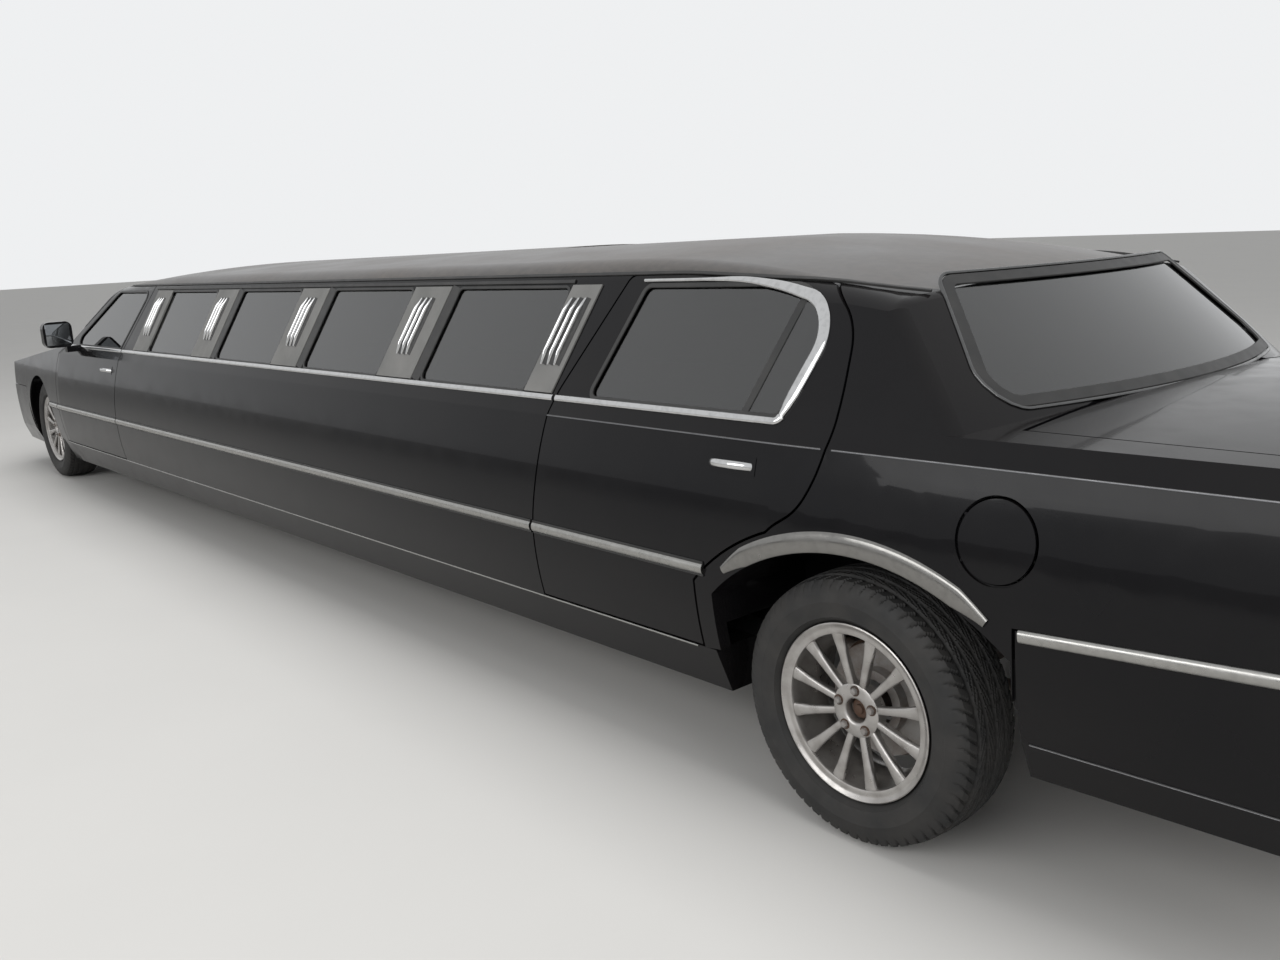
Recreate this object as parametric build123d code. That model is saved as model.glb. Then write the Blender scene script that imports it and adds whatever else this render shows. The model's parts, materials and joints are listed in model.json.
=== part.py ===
# A stretched luxury sedan with five-pillar passenger section, millimetres.
# The body is drawn level, x from the rear axle and z from the road. It is then
# tipped nose down about the rear axle and moved so that the car's box is
# centred on the origin. Wheels, hubs and axles stay upright. +Y is the left.

import os
from math import atan2, cos, degrees, hypot, radians, sin, sqrt, tan

from build123d import *

os.makedirs("parts", exist_ok=True)

# Overall sizes
sedan_wheelbase = 2990
stretch = 4191
front_overhang = 1060
rear_overhang = 1421
body_rake = 0.8

# Body levels, measured from the road under the rear axle
rocker_z = 285
door_bottom_z = 425
moulding_z = 660
crease_z = 1015
belt_z = 1070
rail_z = 1430
roof_z = 1522
deck_crown_z = 1112
floor_z = 345
bumper_top_z = 735

# Body half widths at those levels
sill_y = 962
widest_y = 993
crease_y = 945
belt_y = 915
rail_y = 745
rocker_lean = 0.42

# Places along the body
cowl_to_axle = 541
taper_to_axle = 621
rear_taper_x = 200
front_taper = 2.45
rear_taper = 2.05
hood_slope = 6.45
hood_front_back = 136
hood_rear_z = 1090

# Walls and gaps
skin = 8
panel = 12
quarter_wall = 40
door_depth = 110
pillar_depth = 45
shut_gap = 7
lid_gap = 12
inner_step = 15
glass_thick = 5
glass_inset = 6
running_gap = 0.4

# Wheels
tyre_radius = 351
tyre_width = 225
bead_radius = 216
lip_radius = 231
rim_width = 195
front_track = 1610
rear_track = 1661
spoke_count = 12
axle_radius = 25
kingpin_inset = 80

# Places worked out from the sizes above
wheelbase = sedan_wheelbase + stretch
nose_x = wheelbase + front_overhang
tail_x = -rear_overhang
cowl_x = wheelbase - cowl_to_axle
front_taper_x = wheelbase - taper_to_axle
half_gap = shut_gap / 2
far = 3000
tumblehome = (belt_y - rail_y) / (rail_z - belt_z - 10)
side_lean = atan2(tumblehome, 1)
roof_crown = 4883
roof_corner_radius = 110
rake_drop = wheelbase * tan(radians(body_rake))
hub_z = tyre_radius
front_hub_z = tyre_radius + rake_drop


def face_of(points, radius=0):
    """A flat face with the given corners, rounded by one radius or a list."""
    if radius == 0:
        return make_face(Polyline(*points, close=True))
    return make_face(FilletPolyline(*points, radius=radius, close=True))


def grown(face, amount):
    """A flat face with its outline moved outwards, or inwards if negative."""
    if amount == 0:
        return face
    return offset(face, amount, kind=Kind.INTERSECTION).faces()[0]


def across(face, y0, y1):
    """A side-view face carried from y0 to y1."""
    return Pos(0, y1, 0) * extrude(Plane.XZ * face, y1 - y0)


def along(face, x0, x1):
    """A front-view face carried from x0 to x1."""
    return Pos(x0, 0, 0) * extrude(Plane.YZ * face, x1 - x0)


def upward(face, z0, z1):
    """A plan-view face carried from z0 to z1."""
    return Pos(0, 0, z0) * extrude(face, z1 - z0)


def block(x0, x1, y0, y1, z0, z1):
    """A box between two corners."""
    size = (x1 - x0, y1 - y0, z1 - z0)
    return Pos((x0 + x1) / 2, (y0 + y1) / 2, (z0 + z1) / 2) * Box(*size)


def rod(start, end, radius):
    """A round bar from one point to another."""
    line = Vector(*end) - Vector(*start)
    return extrude(Plane(origin=start, z_dir=line) * Circle(radius), line.length)


def both_sides(shape):
    """A left-hand shape and its mirror image."""
    return [shape, mirror(shape, Plane.XZ)]


def solids_of(*shapes):
    """Every solid in the given shapes, as one list."""
    found = []
    for shape in shapes:
        found += shape.solids()
    return found


def drop(distance, radius):
    """How far a circle has fallen at a distance from its highest point."""
    return radius - sqrt(radius**2 - distance**2)


def radius_for(distance, fall):
    """The radius of a circle that falls by an amount at a distance."""
    return (distance**2 + fall**2) / (2 * fall)


# The body's shape: sections, plan, side view and screens

def lower_section(bottom):
    """The body's cross-section from the rocker to the belt and deck."""
    foot_y = sill_y - rocker_lean * (door_bottom_z - bottom)
    edges = [
        Line((-foot_y, bottom), (foot_y, bottom)),
        Line((foot_y, bottom), (sill_y, door_bottom_z)),
        ThreePointArc((sill_y, door_bottom_z), (widest_y, moulding_z), (crease_y, crease_z)),
        Line((crease_y, crease_z), (belt_y, belt_z)),
        ThreePointArc((belt_y, belt_z), (0, deck_crown_z), (-belt_y, belt_z)),
        Line((-belt_y, belt_z), (-crease_y, crease_z)),
        ThreePointArc((-crease_y, crease_z), (-widest_y, moulding_z), (-sill_y, door_bottom_z)),
        Line((-sill_y, door_bottom_z), (-foot_y, bottom)),
    ]
    return make_face(Wire(edges))


def cabin_section(inset):
    """The left half of the cabin's cross-section, carried on level past the centre."""
    slip = inset / cos(side_lean)
    slope = 1 / tumblehome
    radius = roof_crown - inset
    crown_z = roof_z - roof_crown
    reach = belt_z - crown_z + slope * (belt_y - slip)
    corner_y = (reach * slope - sqrt(radius**2 * (1 + slope**2) - reach**2)) / (1 + slope**2)
    corner_z = crown_z + reach - slope * corner_y
    bottom = crease_z - 150
    foot_y = belt_y - slip + tumblehome * (belt_z - bottom)
    middle_z = crown_z + sqrt(radius**2 - (corner_y / 2) ** 2)
    edges = [
        Line((-far, roof_z - inset), (0, roof_z - inset)),
        ThreePointArc((0, roof_z - inset), (corner_y / 2, middle_z), (corner_y, corner_z)),
        Line((corner_y, corner_z), (foot_y, bottom)),
        Line((foot_y, bottom), (-far, bottom)),
        Line((-far, bottom), (-far, roof_z - inset)),
    ]
    face = make_face(Wire(edges))
    corner = face.vertices().sort_by(lambda v: abs(v.X - corner_y) + abs(v.Y - corner_z))[0]
    return fillet(corner, roof_corner_radius - inset)


def plan_outline(points, radius, inset):
    """A plan view from its left half, nose and tail ends rounded."""
    right = [(x, -y) for x, y in reversed(points)]
    return grown(face_of(points + right, radius), -inset)


body_plan = [
    (tail_x + 40, 700),
    (tail_x + 120, 900),
    (tail_x + 420, widest_y + 10),
    (nose_x - 440, widest_y + 10),
    (nose_x - 180, 870),
    (nose_x - 60, 600),
]
bumper_plan = [
    (tail_x, 650),
    (tail_x + 90, 880),
    (tail_x + 420, widest_y + 10),
    (nose_x - 440, widest_y + 10),
    (nose_x - 140, 870),
    (nose_x, 500),
]
hood_lip_x = nose_x - hood_front_back
body_side = [
    (tail_x + 40, -far),
    (tail_x + 36, 760),
    (tail_x + 76, 1060),
    (tail_x + 120, 1400),
    (nose_x - 340, 1400),
    (hood_lip_x, 905),
    (nose_x - 76, 870),
    (nose_x - 50, 640),
    (nose_x - 40, -far),
]


def tapered(section, x0, x1, angle, forward):
    """The section carried from x0 to x1, narrowed on both sides towards one end."""
    half = section + Pos(-far / 2, 0) * Rectangle(far, 2 * far)
    run = Vector(cos(radians(angle)), -sin(radians(angle)), 0)
    start = Vector(x0, 0, 0)
    if not forward:
        run = Vector(run.X, -run.Y, 0)
        start = Vector(x1, 0, 0) - run * far
    side = Pos(*start) * extrude(Plane.YZ * half.faces()[0], far, dir=run)
    solid = along(section, x0, x1)
    for half_prism in both_sides(side):
        solid = solid & half_prism
    return solid


def hood_sky(inset):
    """All that lies above the crowned, sloping hood."""
    crown = radius_for(900, 40)
    edge_z = -drop(1100, crown)
    profile = make_face(Wire([
        ThreePointArc((1100, edge_z), (0, 0), (-1100, edge_z)),
        Line((-1100, edge_z), (-1100, far)),
        Line((-1100, far), (1100, far)),
        Line((1100, far), (1100, edge_z)),
    ]))
    start_x = cowl_x - 240
    start_z = hood_rear_z + 240 * tan(radians(hood_slope)) - inset
    slope = Vector(cos(radians(hood_slope)), 0, -sin(radians(hood_slope)))
    return Pos(start_x, 0, start_z) * extrude(Plane.YZ * profile, far, dir=slope)


def lower_body(inset, plan=body_plan, side=body_side):
    """The body below the belt, from bumper to bumper, its skin moved in."""
    section = grown(lower_section(rocker_z - 2 * inset), -inset)
    solid = along(section, rear_taper_x, front_taper_x)
    solid = solid + tapered(section, front_taper_x, nose_x, front_taper, True)
    solid = solid + tapered(section, tail_x, rear_taper_x, rear_taper, False)
    solid = solid & upward(plan_outline(plan, 150, inset), -far, far)
    if side:
        solid = solid & across(grown(face_of(side), -inset), -far, far)
    return solid - hood_sky(inset)


roof_rear_flat_x = 1020
roof_rear_radius = 5200
roof_rear_arc = 24
roof_front_flat_x = cowl_x - 1940
roof_front_radius = 12036
roof_front_arc = 12
screen_base_z = 1075
windshield_run = (-770, 390)
windshield_bow = radius_for(850, 190)
backlight_base_x = -440
backlight_base_z = 1105
backlight_run = (320, 295)
backlight_bow = radius_for(800, 150)
pillar_edge_radius = 55


def screen_prism(base_x, base_z, run, bow, inset, front):
    """All that lies on the cabin's side of a bowed, leaning screen."""
    way = 1 if front else -1
    lean = atan2(run[1], abs(run[0]))
    apex_x = base_x - way * inset / sin(lean)
    edge_x = apex_x - way * drop(1000, bow)
    inner_x = apex_x - way * far
    face = make_face(Wire([
        ThreePointArc((edge_x, 1000), (apex_x, 0), (edge_x, -1000)),
        Line((edge_x, -1000), (inner_x, -1000)),
        Line((inner_x, -1000), (inner_x, 1000)),
        Line((inner_x, 1000), (edge_x, 1000)),
    ]))
    step = Vector(run[0], 0, run[1])
    start = Vector(0, 0, base_z) - step * 0.6
    return Pos(*start) * extrude(face, step.length * 2, dir=step.normalized())


def windshield_prism(inset):
    near = screen_prism(cowl_x, screen_base_z, windshield_run, windshield_bow, inset, True)
    return near + block(tail_x, cowl_x - 2500, -1000, 1000, 700, 1700)


def backlight_prism(inset):
    near = screen_prism(
        backlight_base_x, backlight_base_z, backlight_run, backlight_bow, inset, False
    )
    return near + block(2000, nose_x, -1000, 1000, 700, 1700)


def cabin_half(inset):
    """All that lies inboard of the left side and below the roof, which falls at both ends."""
    section = Plane.YZ * cabin_section(inset)
    solid = along(cabin_section(inset), roof_rear_flat_x, roof_front_flat_x)
    for x, radius, arc in (
        (roof_rear_flat_x, roof_rear_radius, roof_rear_arc),
        (roof_front_flat_x, roof_front_radius, -roof_front_arc),
    ):
        reach = radius * cos(side_lean)
        centre = (x, reach * sin(side_lean), roof_z - reach * cos(side_lean))
        hub = Axis(centre, (0, -cos(side_lean), -sin(side_lean)))
        solid = solid + revolve(Pos(x, 0, 0) * section, axis=hub, revolution_arc=arc)
    return solid


def cabin_wedge(inset, x, angle):
    """All that lies inboard of the left side, turned in about an upright line on the belt."""
    low_y, high_y = (
        belt_y - tumblehome * (z - belt_z) - inset / cos(side_lean) for z in (500, 1700)
    )
    side = along(face_of([(low_y, 500), (high_y, 1700), (-far, 1700), (-far, 500)]), tail_x, nose_x)
    return Pos(x, belt_y, 0) * Rot(0, 0, angle) * Pos(-x, -belt_y, 0) * side


def greenhouse(inset):
    """The cabin above the belt, its skin moved in."""
    foot_z = crease_z - 5 - inset
    solid = cabin_half(inset) & block(backlight_base_x - 200, cowl_x + 200, 0, far, foot_z, far)
    solid = solid & cabin_wedge(inset, rear_taper_x, rear_taper)
    solid = solid & cabin_wedge(inset, front_taper_x, -front_taper)
    solid = solid & windshield_prism(inset) & backlight_prism(inset)
    return solid + mirror(solid, Plane.XZ)


outer_low = lower_body(0)
sharp_high = greenhouse(0)
pillar_edges = sharp_high.edges().filter_by(
    lambda e: e.center().X < 0 and e.center().Z > belt_z
)
outer_high = fillet(pillar_edges, pillar_edge_radius)
outer = outer_low + outer_high
skin_void = lower_body(skin) + greenhouse(skin)
panel_void = lower_body(panel)
wall_void = lower_body(door_depth) + greenhouse(pillar_depth)
quarter_void = lower_body(quarter_wall) + greenhouse(pillar_depth)
wall_shell = outer - wall_void
quarter_shell = outer - quarter_void
panel_shell = outer_low - panel_void
glass_shell = greenhouse(glass_inset) - greenhouse(glass_inset + glass_thick)

# Door outlines in side view, as (x, z) along each edge from the bottom up
rear_door_front = [
    (1217, door_bottom_z),
    (1213, moulding_z),
    (1190, 800),
    (1150, belt_z),
    (950, rail_z),
]
rear_door_top = [(700, rail_z), (180, 1402)]
rear_door_rear = [
    (60, 1313),
    (40, 1133),
    (40, 1034),
    (67, 938),
    (113, 860),
    (217, 796),
    (430, door_bottom_z),
]
rear_door_radii = [0, 800, 900, 260, 40, 900, 60, 170, 850, 330, 320, 170, 220, 0]
front_shut_x = cowl_x - 19
front_door_front = [
    (front_shut_x, door_bottom_z),
    (front_shut_x, 900),
    (front_shut_x - 31, 1010),
    (cowl_x - 220, 1080),
    (cowl_x - 880, rail_z),
]
front_door_rear = [
    (cowl_x - 1234, door_bottom_z),
    (cowl_x - 1259, 800),
    (cowl_x - 1299, belt_z),
    (cowl_x - 1499, rail_z),
]
rear_arch_centre = (-40, 125)
rear_arch_radius = 650
rear_arch_front_x = 410
rear_arch_rear_x = -470
front_arch_radius = 385
front_liner_radius = 420
arch_flange = 65


def rear_arch(grow):
    """The rear wheel opening in side view."""
    disc = Pos(*rear_arch_centre) * Circle(rear_arch_radius + grow)
    front = rear_arch_front_x + grow
    rear = rear_arch_rear_x - grow
    band = Pos((front + rear) / 2, 0) * Rectangle(front - rear, 2 * far)
    return (disc & band).faces()[0]


def front_arch(radius):
    """The front wheel opening in side view, open below."""
    slot = Pos(wheelbase, front_hub_z - far / 2) * Rectangle(2 * radius, far)
    return (Pos(wheelbase, front_hub_z) * Circle(radius) + slot).faces()[0]


def rear_door_face(grow):
    """The rear door's outline, moved out by an amount."""
    outline = face_of(rear_door_front + rear_door_top + rear_door_rear, rear_door_radii)
    body = grown(outline, grow)
    return (body - rear_arch(arch_flange - grow)).faces().sort_by(SortBy.AREA)[-1]


def front_door_face(grow):
    """The front door's outline, moved out by an amount."""
    return grown(face_of(front_door_front + front_door_rear[::-1]), grow)


# Windows in side view
sill_glass_z = belt_z + 10
head_glass_z = rail_z - 35
window_lean = 0.29
window_length = 660
pillar_length = 320
first_window_x = 1320
window_count = 4
rear_door_glass = ([
    (985, sill_glass_z),
    (865, head_glass_z),
    (160, head_glass_z),
    (150, 1235),
    (225, sill_glass_z),
], [20, 30, 150, 60, 30])
front_door_glass = ([
    (cowl_x - 340, sill_glass_z),
    (cowl_x - 895, head_glass_z),
    (cowl_x - 1425, head_glass_z),
    (cowl_x - 1250, sill_glass_z),
], [30, 30, 30, 30])


def stretch_window(index):
    """One leaning window of the passenger section."""
    x0 = first_window_x + index * (window_length + pillar_length)
    shift = window_lean * (head_glass_z - sill_glass_z)
    points = [
        (x0, sill_glass_z),
        (x0 + window_length, sill_glass_z),
        (x0 + window_length - shift, head_glass_z),
        (x0 - shift, head_glass_z),
    ]
    return face_of(points, 25)


stretch_windows = [stretch_window(i) for i in range(window_count)]


# Hinges: a pin on the body in a knuckle on the door

pin_radius = 3.5
arm_half = 3
knuckle_radius = 8
knuckle_height = 40
hinge_back = 45
hinge_in = 15
hinge_levels = (580, 760)
hinge_axis_y = widest_y - hinge_in
pocket_y = hinge_axis_y - 95


def door_pocket(axis_x):
    """The room in a door's inner box round each hinge."""
    cuts = []
    for z in hinge_levels:
        cuts.append(block(
            axis_x - 40, axis_x + 99, pocket_y - 40, hinge_axis_y + 5, z - 45, z + 45
        ))
    return cuts


def hinge_leaves(axis_x, pillar_x):
    """The pins and cranked arms that the pillar carries."""
    leaves = []
    for z in hinge_levels:
        top = z + knuckle_height / 2 + 2
        pin = Pos(axis_x, hinge_axis_y, z - 18) * Cylinder(
            pin_radius, top + 8 - z + 18, align=(Align.CENTER, Align.CENTER, Align.MIN)
        )
        arm = block(
            axis_x - arm_half, axis_x + arm_half, hinge_axis_y - 70, hinge_axis_y, top, top + 8
        )
        leg = block(
            axis_x - arm_half, pillar_x, hinge_axis_y - 74, hinge_axis_y - 58, top, top + 8
        )
        leaves += [pin, arm, leg]
    return leaves


def door_knuckles(axis_x):
    """The bored knuckles that the door carries, with their webs."""
    parts = []
    for z in hinge_levels:
        barrel = Pos(axis_x, hinge_axis_y, z) * Cylinder(knuckle_radius, knuckle_height)
        web = block(
            axis_x - 60, axis_x, hinge_axis_y - 6, hinge_axis_y + 6,
            z - knuckle_height / 2, z + knuckle_height / 2,
        )
        bore = Pos(axis_x, hinge_axis_y, z) * Cylinder(
            pin_radius + running_gap, knuckle_height + 2
        )
        parts.append((barrel + web - bore) & outer_low)
    return parts


def left(shape):
    """The part of a shape on the car's left."""
    return shape & block(-far, nose_x + far, 0, far, -far, far)


def door(face_at, glass_outline, axis_x):
    """A left-hand door and its window glass."""
    low_x = axis_x - 1700
    high_x = axis_x + 200
    zone = block(low_x, high_x, 400, 1200, 300, belt_z) + block(
        low_x, high_x, rail_y - 2 * pillar_depth, 1200, belt_z, 1600
    )
    outer_part = (outer & zone) - skin_void
    outer_part = outer_part & across(face_at(-half_gap), 400, 1200)
    inner_part = (skin_void & zone) - wall_void
    inner_part = inner_part & across(face_at(-half_gap - inner_step), 400, 1200)
    for cut in door_pocket(axis_x):
        inner_part -= cut
    window = face_of(*glass_outline)
    shell = outer_part + inner_part - across(window, 400, 1200)
    for knuckle in door_knuckles(axis_x):
        shell += knuckle
    bores = [
        Pos(axis_x, hinge_axis_y, z) * Cylinder(pin_radius + running_gap, 90)
        for z in hinge_levels
    ]
    for bore in bores:
        shell -= bore
    pane = (glass_shell & zone) & across(grown(window, -0.3), 400, 1200)
    return shell, pane


rear_axis_x = rear_door_front[1][0] - hinge_back
front_axis_x = front_shut_x - hinge_back
rear_door, rear_door_pane = door(rear_door_face, rear_door_glass, rear_axis_x)
front_door, front_door_pane = door(front_door_face, front_door_glass, front_axis_x)

# Door mirrors on the front doors' forward corners
mirror_x = cowl_x - 470
mirror_head = block(mirror_x - 30, mirror_x + 60, 960, 1130, belt_z + 5, belt_z + 165)
mirror_head = fillet(mirror_head.edges().filter_by(Axis.X), 40)
mirror_head = fillet(mirror_head.faces().sort_by(Axis.X)[-1].edges(), 35)
mirror_head = mirror_head - block(
    mirror_x - 40, mirror_x - 26, 972, 1118, belt_z + 17, belt_z + 153
)
mirror_arm = block(mirror_x - 10, mirror_x + 40, 880, 1000, belt_z - 30, belt_z + 8)
front_door = front_door + (mirror_arm - skin_void) + mirror_head

# Passenger section sides with the sills and the rear doors' hinges
roof_bottom = rail_z + half_gap
panel_zone = face_of([
    (rear_door_front[0][0] - 100, door_bottom_z - half_gap),
    (rear_door_front[4][0] - 100, roof_bottom),
    (front_door_rear[3][0] + 100, roof_bottom),
    (front_door_rear[0][0] + 100, door_bottom_z - half_gap),
])
panel_zone = panel_zone - rear_door_face(half_gap) - front_door_face(half_gap)
panel_face = panel_zone.faces().sort_by(SortBy.AREA)[-1]
side_panel = left(wall_shell & across(panel_face, 0, far))
for window in stretch_windows:
    side_panel -= across(window, 0, far)
sill_front_x = cowl_x + 100
sill_inner_y = 800
sill = outer_low & block(
    rear_arch_front_x + 20, sill_front_x, sill_inner_y, far, rocker_z, door_bottom_z - half_gap
)
side_panel = side_panel + sill
for leaf in hinge_leaves(rear_axis_x, rear_door_front[1][0] + 60):
    side_panel += leaf

# Windows of the passenger section
fixed_panes = []
for window in stretch_windows:
    pane = glass_shell & across(grown(window, -0.3), 0, far)
    fixed_panes += both_sides(pane)

# Roof
screen_margin = 0.3
windshield_face = face_of([(-800, 1110), (800, 1110), (590, 1425), (-590, 1425)], 40)
backlight_face = face_of([(-740, 1130), (740, 1130), (580, 1385), (-580, 1385)], 40)
windshield_hole = along(windshield_face, cowl_x - 1100, cowl_x + 300)
backlight_hole = along(backlight_face, backlight_base_x - 100, 60)
roof_edge = [
    (rear_door_top[0][0], roof_bottom),
    (rear_door_top[1][0], rear_door_top[1][1] + half_gap),
    (-60, 1368 + half_gap),
    (-540, 1290),
]
below_roof = face_of([
    (cowl_x + 400, roof_bottom), *roof_edge, (tail_x, 1290), (tail_x, 1000), (cowl_x + 400, 1000)
])
roof = wall_shell & block(-700, cowl_x + 300, -1200, 1200, 1250, 1700)
roof = roof - across(below_roof, -1500, 1500)
roof = roof - windshield_hole - backlight_hole

windshield = windshield_prism(glass_inset) & outer_high
windshield = windshield - windshield_prism(glass_inset + glass_thick)
windshield = windshield & along(grown(windshield_face, -screen_margin), cowl_x - 1100, cowl_x + 300)
backlight = backlight_prism(glass_inset) & outer_high
backlight = backlight - backlight_prism(glass_inset + glass_thick)
backlight = backlight & along(grown(backlight_face, -screen_margin), backlight_base_x - 100, 60)
fixed_panes += windshield.solids() + backlight.solids()

# Rear quarters with the wheel housings
trunk_half = 790
lamp_half = 590
lamp_top_z = 968
lid_bottom_z = bumper_top_z + 10
deck_edge_x = -400
trunk_face = face_of([
    (-trunk_half, 1300),
    (-trunk_half, lamp_top_z + half_gap),
    (-lamp_half, lamp_top_z + half_gap),
    (-lamp_half, lid_bottom_z),
    (lamp_half, lid_bottom_z),
    (lamp_half, lamp_top_z + half_gap),
    (trunk_half, lamp_top_z + half_gap),
    (trunk_half, 1300),
], 0)
trunk_x = deck_edge_x
lid_zone = along(trunk_face, tail_x - 50, trunk_x)
lid_hole = along(grown(trunk_face, half_gap + 1), tail_x - 50, trunk_x + lid_gap)
lid_solid = panel_shell & lid_zone

fuel_x = -427
fuel_z = 867
fuel_radius = 90
fuel_gap = 7.5
fuel_disc = Pos(fuel_x, fuel_z) * Circle(fuel_radius)
fuel_hole = Pos(fuel_x, fuel_z) * Circle(fuel_radius + fuel_gap)

bumper_seam = [(rear_arch_rear_x - 12, 686), (tail_x - 20, bumper_top_z)]
quarter_zone = face_of([
    (tail_x - 20, bumper_top_z + 4),
    (rear_arch_rear_x - 4, bumper_seam[0][1] + 4),
    (rear_arch_rear_x - 4, 600),
    (rear_arch_rear_x, 520),
    (rear_arch_front_x + arch_flange - 4, door_bottom_z - half_gap),
    (rear_arch_front_x + arch_flange - 4, 700),
    (300, 1400),
    *roof_edge[1:],
    (tail_x - 20, 1290),
])
quarter = left(quarter_shell & across(quarter_zone, 0, 1500))
quarter = quarter - across(rear_door_face(half_gap), 400, far)
quarter = quarter - across(rear_arch(0), 400, far)
quarter = quarter - lid_hole - backlight_hole
lamp_zone = along(
    face_of([
        (lamp_half + 4, lid_bottom_z), (far, lid_bottom_z), (far, lamp_top_z), (lamp_half + 4, lamp_top_z)
    ]),
    tail_x - 50, tail_x + 260,
)
lamp_solid = (outer_low - lower_body(70)) & lamp_zone
quarter = quarter - lamp_zone
right_quarter = quarter
quarter = quarter - across(fuel_hole, 700, far)
housing_in_y = 600
housing = across((rear_arch(8) - rear_arch(0)).faces()[0], housing_in_y, far)
housing = housing & block(-far, far, 0, far, 500, 900)
housing_wall = across(rear_arch(8), housing_in_y, housing_in_y + 8) & block(-far, far, 0, far, 500, 900)
housing = (housing + housing_wall) & lower_body(skin)
quarter = quarter + housing
right_quarter = (right_quarter + housing).mirror(Plane.XZ)
fuel_cup = across(
    (fuel_hole - Pos(fuel_x, fuel_z) * Circle(fuel_radius + fuel_gap - 3)).faces()[0], 860, far
) & lower_body(skin)
fuel_floor = across(fuel_hole, 860, 864)
quarter = quarter + fuel_cup + fuel_floor

fuel_flap = (outer_low - lower_body(skin)) & across(fuel_disc, 800, far)

# Front fenders with the wheel liners
hood_half = 770
hood_rear_x = cowl_x + 60
fender_zone = face_of([
    (front_shut_x + half_gap, door_bottom_z - half_gap),
    (front_shut_x + half_gap, 900),
    (front_shut_x + half_gap - 31, 1010),
    (front_shut_x + half_gap - 31, 1200),
    (nose_x + 20, 1200),
    (nose_x + 20, bumper_top_z + 4),
    (wheelbase + front_arch_radius + 5, bumper_top_z + 4),
    (wheelbase + front_arch_radius + 5, door_bottom_z - half_gap),
])
front_lamp_back = 260
fender = left(panel_shell & across(fender_zone, 0, far))
fender = fender & block(0, nose_x, hood_half + half_gap, far, 0, far)
fender = fender - across(front_arch(front_arch_radius), 0, far)
front_lamp_zone = block(nose_x - front_lamp_back, nose_x, 470, far, bumper_top_z + 4, 872)
fender = fender - front_lamp_zone
liner = across((front_arch(front_liner_radius + 8) - front_arch(front_liner_radius)).faces()[0], 470, far)
liner = liner & block(0, nose_x, 0, far, front_hub_z - 60, far) & lower_body(skin)
fender = fender + liner

# Hood, nose and lamps
hood_zone = block(hood_rear_x, hood_lip_x + 2, -hood_half, hood_half, 880, 1200)
hood_solid = panel_shell & hood_zone
front_lamp = left((outer_low - lower_body(80)) & front_lamp_zone)
grille_zone = block(nose_x - 200, nose_x, -470, 470, bumper_top_z + 8, 866)
grille_solid = (outer_low - lower_body(30)) & grille_zone

bumper_outer = lower_body(0, bumper_plan, None)
bumper_void = lower_body(45, bumper_plan, None)
bumper_shell = bumper_outer - bumper_void
front_bumper = bumper_shell & block(
    wheelbase + front_arch_radius + 8, nose_x + 9, -far, far, 300, bumper_top_z
)
front_bumper = front_bumper - across(front_arch(front_liner_radius + 9), -far, far)
intake_half = 430
intake_low_z = 395
intake_high_z = 500
front_bumper = front_bumper - block(
    nose_x - 160, nose_x + 20, -intake_half, intake_half, intake_low_z, intake_high_z
)
for lamp_hole in both_sides(block(nose_x - 260, nose_x + 20, 560, 720, 410, 490)):
    front_bumper = front_bumper - lamp_hole
rear_bumper_side = face_of([*bumper_seam, (tail_x - 20, 330), (rear_arch_rear_x - 12, 330)])
rear_bumper = bumper_shell & across(rear_bumper_side, -far, far)

# A-pillars, cowl, firewall and hinge pillars

def circle_through(p, q, r):
    """The centre and radius of the circle through three points."""
    ax, ay = q[0] - p[0], q[1] - p[1]
    bx, by = r[0] - p[0], r[1] - p[1]
    d = 2 * (ax * by - ay * bx)
    ux = (by * (ax**2 + ay**2) - ay * (bx**2 + by**2)) / d
    uy = (ax * (bx**2 + by**2) - bx * (ax**2 + ay**2)) / d
    return p[0] + ux, p[1] + uy, hypot(ux, uy)


def body_y(x, z):
    """The body side's half width at a place below the crease."""
    cy, cz, radius = circle_through(
        (sill_y, door_bottom_z), (widest_y, moulding_z), (crease_y, crease_z)
    )
    y = cy + sqrt(radius**2 - (z - cz) ** 2)
    y -= max(0, x - front_taper_x) * tan(radians(front_taper))
    return y - max(0, rear_taper_x - x) * tan(radians(rear_taper))


rail_low_z = 240
rail_high_z = 325
rail_y0 = 640
rail_y1 = 720
inner_rail_y0 = 440
inner_rail_y1 = 520
kick_x = rear_arch_front_x + 100
rear_rail_z = 480
front_rail_z = 380
front_rail_y0 = 380
front_rail_y1 = 440
frame_front_x = nose_x - 130
cross_low_z = rail_high_z - 50
cross_high_z = rail_high_z - 13
sheet = 15
tunnel_half = 120
tunnel_top_z = 440
riser_x = kick_x - 50
riser_top_z = 610
bulkhead_x = 130
shelf_z = 985
cowl_low_z = crease_z - 60
pillar_zone = block(cowl_x - 1000, cowl_x + 20, -far, far, cowl_low_z, roof_bottom)
pillars = (wall_shell & pillar_zone) - windshield_hole
pillars = pillars - across(front_door_face(half_gap), -far, far)
firewall = block(cowl_x, cowl_x + 20, -sill_inner_y, sill_inner_y, floor_z - 20, cowl_low_z + 2)
firewall = firewall - block(cowl_x - 1, cowl_x + 21, -tunnel_half, tunnel_half, 0, tunnel_top_z)
for slot in both_sides(block(
    cowl_x - 1, cowl_x + 21, front_rail_y0 - 5, front_rail_y1 + 5, 0, front_rail_z + 60
)):
    firewall = firewall - slot
fender_edge = block(front_shut_x - 30, cowl_x + 40, -far, far, 0, belt_z + 10)
pillars = pillars - (fender_edge - lower_body(panel + 1))
front_frame = pillars + firewall
pillar_x0 = front_shut_x + 15
for post in both_sides(block(
    pillar_x0, sill_front_x, sill_inner_y - 60, hinge_axis_y - 48, door_bottom_z - half_gap, 990
)):
    front_frame += post
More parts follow.
